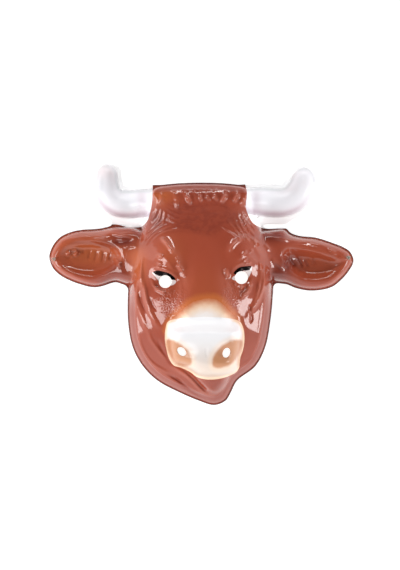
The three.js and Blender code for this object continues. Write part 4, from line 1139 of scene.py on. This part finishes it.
def bare_sheet(colours):
    """The unpainted inside of the sheet: ivory plastic with faint flow lines and a trace of overspray."""
    paint = Paint(bpy.data.materials.new("bare_sheet"))
    cloudy = paint.noise(16.0, 4.0, 0.6, 0.6)
    grain = paint.noise(700.0, 2.0)
    spray = (1 - paint.attribute("edge").step(0.0, 3.0)) * 0.5
    colour = paint.mix(cloudy.step(0.35, 0.7) * 0.5, colours["inside"], colours["inside_shade"])
    colour = paint.mix(spray * grain.step(0.4, 0.6), colour, colours["brown"])
    return paint.finish(colour, 0.42 + 0.12 * cloudy, grain + cloudy * 2.0, 0.0002, IOR=1.5)


def covered_elastic(name, tint, shade):
    """Thin braided cover: slanted threads from two crossed waves along and round the cord."""
    paint = Paint(bpy.data.materials.new(name))
    along, around = paint.attribute("along"), paint.attribute("around")
    left = (along * 2400.0 + around * 12.566).sine()
    right = (along * 2400.0 - around * 12.566).sine()
    threads = left.larger(right) * 0.5 + 0.5
    fuzz = paint.noise(1500.0, 2.0)
    colour = paint.mix((threads * 0.7 + fuzz * 0.5).clamp(), shade, tint)
    return paint.finish(colour, 0.75 + 0.1 * fuzz, threads + fuzz * 0.5, 0.0002, IOR=1.45)


def size_setting(name, description, millimetres):
    """A size that the user may change, kept in metres."""
    return bpy.props.FloatProperty(name=name, description=description, default=millimetres * MM,
                                   unit="LENGTH", precision=5, min=0.0)


def colour_setting(name, description, red, green, blue):
    """A colour that the user may change, given as screen values from 0 to 255 and kept linear."""
    screen = np.array([red, green, blue]) / 255
    linear = np.where(screen <= 0.04045, screen / 12.92, ((screen + 0.055) / 1.055) ** 2.4)
    return bpy.props.FloatVectorProperty(name=name, description=description, default=tuple(linear),
                                         subtype="COLOR", size=3, min=0.0, max=1.0)


class BullMaskSizes(bpy.types.PropertyGroup):
    """Sizes of the formed sheet."""

    sheet: size_setting("Sheet", "Thickness of the sheet", 0.8)
    spacing: size_setting("Spacing", "Distance between the surface's vertices", 0.95)
    rim_width: size_setting("Rim width", "Flat rim round the face and ears", 1.6)
    horn_rim_width: size_setting("Horn rim width", "Flat rim round the horns", 4.2)
    corner_rounding: size_setting("Corner rounding", "Rounding where ears and horns leave the head", 5)
    jaw_rounding: size_setting("Jaw rounding", "Rounding where the jaw leaves the head", 4)
    bridge_rounding: size_setting("Bridge rounding", "Rounding where the nose bridge leaves the head", 12)
    muzzle_rounding: size_setting("Muzzle rounding", "Rounding where the muzzle leaves the head", 3)
    ear_rounding: size_setting("Ear rounding", "Rounding where the ears leave the head", 6)
    horn_rounding: size_setting("Horn rounding", "Rounding where the horns leave the head", 4)
    swelling_margin: size_setting("Swelling margin", "Strip by the rim where swellings fade out", 10)
    head_width: size_setting("Head width", "Across the cheeks", 135.5)
    head_height: size_setting("Head height", "From chin to crown", 204.5)
    head_depth: size_setting("Head depth", "Height of the face over its rim", 56)
    head_shoulder: size_setting("Head shoulder", "Width over which the face rises from its rim", 44)
    head_wall: size_setting("Head wall", "Width over which the face's steep wall rises", 8)
    bridge_width: size_setting("Bridge width", "Across the nose bridge", 64)
    bridge_length: size_setting("Bridge length", "From the muzzle to the forehead", 92)
    bridge_depth: size_setting("Bridge depth", "Height of the nose bridge over the rim", 75)
    bridge_shoulder: size_setting("Bridge shoulder", "Width over which the nose bridge rises", 12.8)
    muzzle_width: size_setting("Muzzle width", "Across the muzzle", 73)
    muzzle_height: size_setting("Muzzle height", "From lip to crease", 56)
    muzzle_depth: size_setting("Muzzle depth", "Height of the muzzle over the rim", 88)
    muzzle_shoulder: size_setting("Muzzle shoulder", "Width over which the muzzle rises", 15)
    jaw_width: size_setting("Jaw width", "Across the jaw", 60)
    jaw_height: size_setting("Jaw height", "From chin to muzzle", 42)
    jaw_depth: size_setting("Jaw depth", "Height of the jaw over the rim", 52)
    jaw_shoulder: size_setting("Jaw shoulder", "Width over which the jaw rises", 12)
    ear_length: size_setting("Ear length", "From root to tip", 76.5)
    ear_width: size_setting("Ear width", "Across an ear", 54)
    ear_depth: size_setting("Ear depth", "Height of an ear's root over the rim", 25)
    ear_shoulder: size_setting("Ear shoulder", "Width over which an ear rises", 9)
    ear_dish_depth: size_setting("Ear dish depth", "Depth of the dish in an ear", 8)
    ear_dish_shoulder: size_setting("Ear dish shoulder", "Width over which the dish sinks", 9)
    horn_reach: size_setting("Horn reach", "From a horn's root out to its bend", 37.5)
    horn_rise: size_setting("Horn rise", "From a horn's root up to its tip", 28.2)
    horn_width: size_setting("Horn width", "Across a horn's root", 25.6)
    horn_depth: size_setting("Horn depth", "Height of a horn over the rim", 15)
    eye_hole: size_setting("Eye hole", "Diameter of an eye hole", 11.7)
    nostril_long: size_setting("Nostril length", "Long way across a nostril hole", 9.2)
    nostril_short: size_setting("Nostril width", "Short way across a nostril hole", 6.6)
    cord_hole: size_setting("Cord hole", "Diameter of the hole in each ear tip", 2.8)


class BullMaskColours(bpy.types.PropertyGroup):
    """Colours of the paint and of the elastic."""

    brown: colour_setting("Brown", "Main coat", 160, 72, 50)
    # Deep brown: the cloudy coat, and painted shade in the grooves and on the walls by the rim
    deep: colour_setting("Deep brown", "Thicker coat and grooves", 140, 56, 38)
    # Warm brown: orange overspray, and painted sheen in the left ear's dish
    warm: colour_setting("Warm brown", "Orange overspray", 186, 96, 56)
    hair: colour_setting("Hair brown", "Coat over the combed hair", 128, 54, 40)
    # Painted highlight: the lighter brown put along the folds
    ridge: colour_setting("Ridge brown", "Thin coat on the folds", 184, 102, 80)
    # Painted shade: the dark brown put in the ear roots, the right dish, the crown, by the left horn and on
    # the chin
    shadow: colour_setting("Shadow brown", "Dark spray at the ear roots", 92, 26, 22)
    # Painted shade: the dark line along the foot of the wall at the cut edge
    edge: colour_setting("Edge", "Line round the cut edge", 74, 40, 36)
    orange: colour_setting("Orange", "Outer spray round the white nose", 196, 108, 56)
    peach: colour_setting("Peach", "Inner spray round the white nose", 242, 208, 178)
    white: colour_setting("White", "Muzzle", 246, 245, 247)
    cream: colour_setting("Cream", "Lower muzzle", 212, 192, 176)
    eye_white: colour_setting("Eye white", "Eyes round the holes", 220, 206, 204)
    tan: colour_setting("Tan", "Nostrils", 188, 122, 76)
    horn: colour_setting("Horn white", "Horns", 243, 241, 246)
    horn_rim: colour_setting("Horn rim white", "Flat sheet round the horns", 255, 255, 255)
    mauve: colour_setting("Mauve", "Shade under the horns", 202, 182, 194)
    grey: colour_setting("Grey", "Shade over the horns", 192, 194, 198)
    blush: colour_setting("Blush", "Blemish by the horn tips", 228, 200, 198)
    black: colour_setting("Black", "Upper lids", 22, 18, 18)
    inside: colour_setting("Inside", "Bare sheet", 226, 216, 204)
    inside_shade: colour_setting("Inside shade", "Flow lines in the bare sheet", 206, 194, 182)
    elastic: colour_setting("Elastic", "Threads of the elastic's cover", 176, 166, 154)
    elastic_shade: colour_setting("Elastic shade", "Gaps between the threads", 96, 84, 74)
    knot: colour_setting("Knot", "Threads of the left knot", 206, 176, 160)
    knot_shade: colour_setting("Knot shade", "Gaps in the left knot", 60, 36, 30)


class BullMaskElastic(bpy.types.PropertyGroup):
    """Sizes of the elastic that goes behind the wearer's head."""

    diameter: size_setting("Diameter", "Thickness of the elastic", 1.6)
    whole: size_setting("Length", "Whole length from knot to knot", 317)
    seat_gap: size_setting("Seat gap", "Clearance where pieces touch", 0.3)
    strand: size_setting("Knot strand", "Half thickness of the strand in a knot", 0.52)


class BullMaskStage(bpy.types.PropertyGroup):
    """The studio round the mask."""

    view_height: size_setting("View height", "Height of the picture at the floor", 527.25)
    view_distance: size_setting("View distance", "Camera's height over the floor", 6000)
    centre_x: size_setting("Centre across", "Middle of the picture, left of the origin", 1.3)
    centre_y: size_setting("Centre up", "Middle of the picture, under the origin", 3.0)
    key_power: bpy.props.FloatProperty(name="Key power", description="Light from beyond the horns",
                                       default=11.0, unit="POWER")
    side_power: bpy.props.FloatProperty(name="Side power", description="Each light beside the mask",
                                        default=13.0, unit="POWER")
    sky_low: bpy.props.FloatProperty(name="Low sky", description="Brightness round the horizon", default=1.25)
    sky_high: bpy.props.FloatProperty(name="High sky", description="Brightness overhead", default=0.25)


def sizes_in_millimetres(group):
    """The sheet's sizes by name."""
    return {key: getattr(group, key) / MM for key in group.__annotations__}


def paint_colours(group):
    """The colours by name, as shader sockets take them."""
    return {key: (*getattr(group, key), 1.0) for key in group.__annotations__}


def soft_patches(mould, points, kind):
    """The sum of the bell-shaped patches of one kind, no more than 1."""
    total = np.zeros(len(points))
    scale = np.array([mould.sizes["head_width"] / 2, mould.sizes["head_height"]])
    for _, patch_kind, across, up, wide, tall, strength in PATCHES:
        if patch_kind == kind:
            reach = (((points - mould.on_head((across, up))) / (scale * (wide, tall))) ** 2).sum(1)
            total += strength * np.exp(-reach)
    return np.minimum(total, 1)


def inside_any(mould, outlines, points):
    """How far each point is inside the nearest of several closed outlines of head shares."""
    return np.max([near_distance(spline(mould.on_head(shares), True), points, 12.0)
                   for shares in outlines], axis=0)


def paint_attributes(mould, points, relief, hair):
    """What the paint reads at each vertex: distances into painted areas in millimetres, and soft shares."""
    horn_in = np.full(len(points), -FAR)
    under = np.zeros(len(points))
    for horn in mould.horns:
        inside = horn.distance(points)
        lower = horn.distance(points + (0, 0.4)) > inside
        under = np.where(inside > horn_in, lower, under)
        horn_in = np.maximum(horn_in, inside)
    across, up = mould.head_shares(points)
    kinds = dict.fromkeys(kind for _, kind, *_ in PATCHES)
    patches = {kind: soft_patches(mould, points, kind) for kind in kinds}
    # Painted shade on the horns: mauve along each tube's lower side and grey along its outline
    underside = under * 0.75 * np.exp(-((horn_in - 2.4) / 3.0) ** 2) * smoothstep(1.6, 1.25, np.abs(across))
    brim = np.exp(-((horn_in - 1.0) / 1.8) ** 2) * np.where(under, 0.2, 0.7)
    return {
        **patches,
        "relief": relief,
        "hair": hair,
        "edge": mould.edge(points),
        # The steep walls of the lower face and the crown, which the paint makes duller and darkens as painted
        # shade
        "wall": 1 - smoothstep(0.4, 0.6, up) + smoothstep(0.93, 0.97, up),
        "fade": inside_any(mould, [WHITE_FADE], points),
        "muzzle": mould.muzzle.distance(points),
        "low": smoothstep(0.33, 0.13, up),
        "nostril": inside_any(mould, NOSTRIL_TANS, points),
        "horn": inside_any(mould, WHITE_HORNS, points),
        "tube": horn_in,
        "mauve": np.minimum(underside + patches["mauve"], 1),
        "grey": np.minimum(brim + patches["grey"], 1),
        "eye": inside_any(mould, EYE_WHITES, points),
        "lid": inside_any(mould, LIDS, points),
    }


def formed_sheet(sizes):
    """The whole sheet: a net cut along the wall's foot, the muzzle, the rim and the holes, lifted to the
    mould's height plus the relief, with a second surface one thickness under it along the normals."""
    mould = Mould(sizes)
    ear_span = 2 * max(sizes["ear_length"], sizes["horn_reach"] * 2)
    horn_span = 2 * (sizes["horn_rise"] + sizes["horn_width"])
    net = Net(sizes["head_width"] + ear_span, sizes["head_height"] + horn_span, sizes["spacing"])
    net.keep_inside(mould.edge(net.points) + 2 * sizes["spacing"])
    net.lay_line(mould.foot)
    net.lay_line(mould.muzzle.distance)
    net.keep_inside(net.lay_line(lambda points: np.minimum(mould.edge(points), mould.holes(points))))
    net.gather(mould.foot, *FOOT_STRIP)
    net.gather(mould.muzzle.distance, *MUZZLE_STRIP)
    points = net.points
    rise = smoothstep(sizes["rim_width"], 4.0, mould.edge(points))
    hair, waves = mould.hair_waves(points)
    folds = mould.relief(points, BROW_FOLDS + CHEEK_FOLDS + HAIR_FOLDS + EAR_FOLDS)
    relief = rise * (folds + waves + mould.rim_ridge(points))
    height = soften(mould.height(points), net.triangles, mould.softness(points), SOFTENING_ROUNDS)
    height = np.maximum(height + relief, 0)
    # The outline stays inside the packed solids' box
    low, high = (np.array(corner[:2]) / MM - HEAD_MIDDLE for corner in CAD_BOX)
    points = np.clip(points, low, high)
    top = np.column_stack([points, height + sizes["sheet"]])
    steep = np.maximum(vertex_normals(top, net.triangles)[:, 2], 0.2)
    bottom = np.column_stack([points, np.maximum(top[:, 2] - sizes["sheet"] / steep, 0)])
    count = len(points)
    faces = np.vstack([net.triangles, net.triangles[:, ::-1] + count, rim_strip(net.triangles, count)])
    attributes = paint_attributes(mould, points, relief, hair)
    attributes = {key: np.concatenate([value, value]) for key, value in attributes.items()}
    return np.vstack([top, bottom]), faces, len(net.triangles), attributes


def tube(path, radius, sides, reference, closed):
    """A tube round a path: rings square to it, turned by a reference direction, with a cone of one radius
    at each open end. Also gives each vertex's length along the path and share round the ring."""
    path = np.asarray(path, dtype=float)
    if closed:
        tangent = np.roll(path, -1, axis=0) - np.roll(path, 1, axis=0)
    else:
        tangent = np.gradient(path, axis=0)
    tangent /= np.linalg.norm(tangent, axis=1, keepdims=True)
    side = np.cross(tangent, reference)
    side /= np.linalg.norm(side, axis=1, keepdims=True)
    other = np.cross(side, tangent)
    angle = np.linspace(0, 2 * np.pi, sides, endpoint=False)
    ring = np.cos(angle)[None, :, None] * side[:, None] + np.sin(angle)[None, :, None] * other[:, None]
    vertices = (path[:, None] + radius * ring).reshape(-1, 3)
    count = len(path)
    i, j = np.meshgrid(np.arange(count if closed else count - 1), np.arange(sides), indexing="ij")
    a, b = i * sides + j, i * sides + (j + 1) % sides
    c, d = (i + 1) % count * sides + j, (i + 1) % count * sides + (j + 1) % sides
    faces = [np.column_stack([v.ravel() for v in corners]) for corners in ((a, b, d), (a, d, c))]
    steps = np.concatenate([[0], np.cumsum(np.linalg.norm(np.diff(path, axis=0), axis=1))])
    along, around = np.repeat(steps, sides), np.tile(angle / (2 * np.pi), count)
    if not closed:
        poles = np.vstack([path[0] - tangent[0] * radius * 0.5, path[-1] + tangent[-1] * radius * 0.5])
        rim = np.arange(sides)
        turn = (rim + 1) % sides
        last = (count - 1) * sides
        first_pole = np.full(sides, len(vertices))
        faces.append(np.column_stack([turn, rim, first_pole]))
        faces.append(np.column_stack([last + rim, last + turn, first_pole + 1]))
        vertices = np.vstack([vertices, poles])
        along, around = np.append(along, [steps[0], steps[-1]]), np.append(around, [0, 0])
    return vertices, np.vstack(faces), {"along": along, "around": around}


def box_middle(node):
    """The middle of a packed node's box, in metres."""
    low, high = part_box(node)
    return (np.array(low) + np.array(high)) / 2


def cord_path(elastic):
    """The elastic's route from under the left knot to under the right one, in metres."""
    start, end = box_middle("cord_knot_left"), box_middle("cord_knot_right")
    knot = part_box("cord_knot_left")
    below = (knot[1][0] - knot[0][0]) / 2 + elastic.seat_gap
    ground = elastic.diameter / 2 + elastic.seat_gap
    start, end = start - (0, 0, below), end - (0, 0, below)
    share, inward = CORD_BEND
    bend, inward = (1, 1, share), (inward * MM, 0, 0)
    flat = (np.array(CORD_ROUTE) + HEAD_MIDDLE) * MM
    route = np.column_stack([flat, np.full(len(flat), ground)])
    path = spline(np.vstack([start, start * bend + inward, route, end * bend - inward, end]), False, 10)
    path[:, 2] = np.maximum(path[:, 2], ground)
    return path


def area_light(name, size, place, power, target):
    """A soft box: a rectangular lamp that points at a target."""
    lamp = bpy.data.lights.new(name, "AREA")
    lamp.shape = "RECTANGLE"
    lamp.size, lamp.size_y = size
    lamp.energy = power
    holder = bpy.data.objects.new(name, lamp)
    holder.location = place
    holder.rotation_mode = "QUATERNION"
    holder.rotation_quaternion = (Vector(target) - Vector(place)).to_track_quat("-Z", "Y")
    bpy.context.scene.collection.objects.link(holder)


class BULLMASK_OT_stage(bpy.types.Operator):
    """Makes the pale floor, the soft lights and the camera straight above the mask"""

    bl_idname = "bull_mask.stage"
    bl_label = "Studio"

    def execute(self, context):
        stage = context.scene.bull_mask_stage
        paint = Paint(bpy.data.materials.new("floor_paper"))
        grain = paint.noise(90.0, 4.0)
        colour_of_paper = paint.mix(grain * 0.2, (0.5, 0.5, 0.5, 1), (0.46, 0.46, 0.46, 1))
        material = paint.finish(colour_of_paper, 0.9, grain, 0.00005,
                                **{"Emission Color": (1, 1, 1, 1), "Emission Strength": 0.8})
        corners = np.array([(-1, -1), (1, -1), (1, 1), (-1, 1)]) * FLOOR_HALF
        corners = np.column_stack([corners, np.full(4, -FLOOR_DROP)])
        new_mesh("floor", corners, np.array([(0, 1, 2, 3)]), [material])
        sky = Paint(bpy.data.worlds.new("studio"), "Generated")
        beyond, above = (sky.node("ShaderNodeSeparateXYZ", None, {0: sky.place}, axis) for axis in ("Y", "Z"))
        by_height = sky.map(above, 0.3, 0.9, stage.sky_low, stage.sky_high)
        by_side = sky.map(beyond, -0.7, 0.6, 1.28, 0.3)
        background = sky.node("ShaderNodeBackground", None,
                              {"Color": (1, 1, 1, 1), "Strength": by_height * by_side})
        sky.node("ShaderNodeOutputWorld", None, {"Surface": background})
        context.scene.world = sky.owner
        for name, extent, place, power, share in LAMPS:
            area_light(name, extent, place, getattr(stage, power) * share, LAMP_TARGET)
        camera = bpy.data.cameras.new("camera")
        camera.sensor_width = 36.0
        camera.lens = camera.sensor_width * stage.view_distance / stage.view_height
        camera.clip_end = 4 * stage.view_distance
        holder = bpy.data.objects.new("camera", camera)
        holder.location = (-stage.centre_x, -stage.centre_y, stage.view_distance)
        context.scene.collection.objects.link(holder)
        context.scene.camera = holder
        context.scene.view_settings.view_transform = "Standard"
        return {"FINISHED"}


class BULLMASK_OT_elastic(bpy.types.Operator):
    """Makes the covered elastic and the knot that holds it in each ear tip"""

    bl_idname = "bull_mask.elastic"
    bl_label = "Elastic and knots"

    def execute(self, context):
        elastic = context.scene.bull_mask_elastic
        colours = paint_colours(context.scene.bull_mask_colours)
        threads = covered_elastic("covered_elastic", colours["elastic"], colours["elastic_shade"])
        knotted = covered_elastic("knotted_elastic", colours["knot"], colours["knot_shade"])
        knots = [self.make_knot("cord_knot_left", elastic, knotted),
                 self.make_knot("cord_knot_right", elastic, threads)]
        path = cord_path(elastic)
        vertices, faces, ribs = tube(path, elastic.diameter / 2, TUBE_SIDES, (0, 1, 0), False)
        cord = new_mesh("elastic_strand", vertices, faces, [threads], ribs)
        cord.data.shade_smooth()
        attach(cord, "root")
        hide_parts("elastic_cord")
        return {"FINISHED"}

    @staticmethod
    def make_knot(node, elastic, material):
        """An overhand knot: a trefoil of strand, sin t plus twice sin 2t across, cos t less twice cos 2t up
        and minus sin 3t out, inside the packed knot's ball."""
        middle = box_middle(node)
        low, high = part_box(node)
        reach = (high[0] - low[0]) / 2 - elastic.strand * 1.05
        t = np.linspace(0, 2 * np.pi, KNOT_STEPS, endpoint=False)
        trefoil = np.column_stack([np.sin(t) + 2 * np.sin(2 * t), np.cos(t) - 2 * np.cos(2 * t),
                                   -np.sin(3 * t)]) / 3 * reach
        outward = trefoil / np.linalg.norm(trefoil, axis=1, keepdims=True)
        vertices, faces, ribs = tube(trefoil, elastic.strand, TUBE_SIDES, outward, True)
        knot = new_mesh(node + "_loop", vertices + middle, faces, [material], ribs)
        knot.data.shade_smooth()
        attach(knot, "root")
        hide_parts(node)
        return knot


class BULLMASK_OT_shell(bpy.types.Operator):
    """Makes the formed and painted sheet: face, ears and horns in one piece"""

    bl_idname = "bull_mask.shell"
    bl_label = "Formed sheet"

    def execute(self, context):
        sizes = sizes_in_millimetres(context.scene.bull_mask_sizes)
        colours = paint_colours(context.scene.bull_mask_colours)
        vertices, faces, outer_count, attributes = formed_sheet(sizes)
        materials = [sheet_paint(colours), bare_sheet(colours)]
        shell = new_mesh("painted_shell", (vertices + (*HEAD_MIDDLE, 0)) * MM, faces, materials, attributes)
        rank = np.arange(len(faces))
        is_inner = (rank >= outer_count) & (rank < 2 * outer_count)
        shell.data.polygons.foreach_set("material_index", is_inner.astype(np.int32))
        shell.data.polygons.foreach_set("use_smooth", rank < 2 * outer_count)
        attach(shell, "root")
        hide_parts("mask_shell")
        return {"FINISHED"}


class BULLMASK_PT_panel(bpy.types.Panel):
    """Lists the makers of the mask's pieces and the sizes they use"""

    bl_label = "Bull Mask"
    bl_space_type = "VIEW_3D"
    bl_region_type = "UI"
    bl_category = "Bull Mask"

    def draw(self, context):
        layout = self.layout
        for operator in OPERATORS:
            layout.operator(operator.bl_idname)
        for key, group in GROUPS.items():
            box = layout.box()
            box.label(text=group.__doc__)
            for name in group.__annotations__:
                box.prop(getattr(context.scene, key), name)


GROUPS = {
    "bull_mask_sizes": BullMaskSizes,
    "bull_mask_colours": BullMaskColours,
    "bull_mask_elastic": BullMaskElastic,
    "bull_mask_stage": BullMaskStage,
}
OPERATORS = [BULLMASK_OT_stage, BULLMASK_OT_elastic, BULLMASK_OT_shell]


def register():
    """Makes the classes known to Blender and gives each scene its settings."""
    for item in [*GROUPS.values(), *OPERATORS, BULLMASK_PT_panel]:
        bpy.utils.register_class(item)
    for key, group in GROUPS.items():
        setattr(bpy.types.Scene, key, bpy.props.PointerProperty(type=group))


def unregister():
    """Takes the settings and classes away again."""
    for key in GROUPS:
        delattr(bpy.types.Scene, key)
    for item in [BULLMASK_PT_panel, *reversed(OPERATORS), *reversed(GROUPS.values())]:
        bpy.utils.unregister_class(item)


def main():
    """Builds stage, elastic and sheet."""
    register()
    bpy.ops.bull_mask.stage()
    bpy.ops.bull_mask.elastic()
    bpy.ops.bull_mask.shell()


if __name__ == "__main__":
    main()
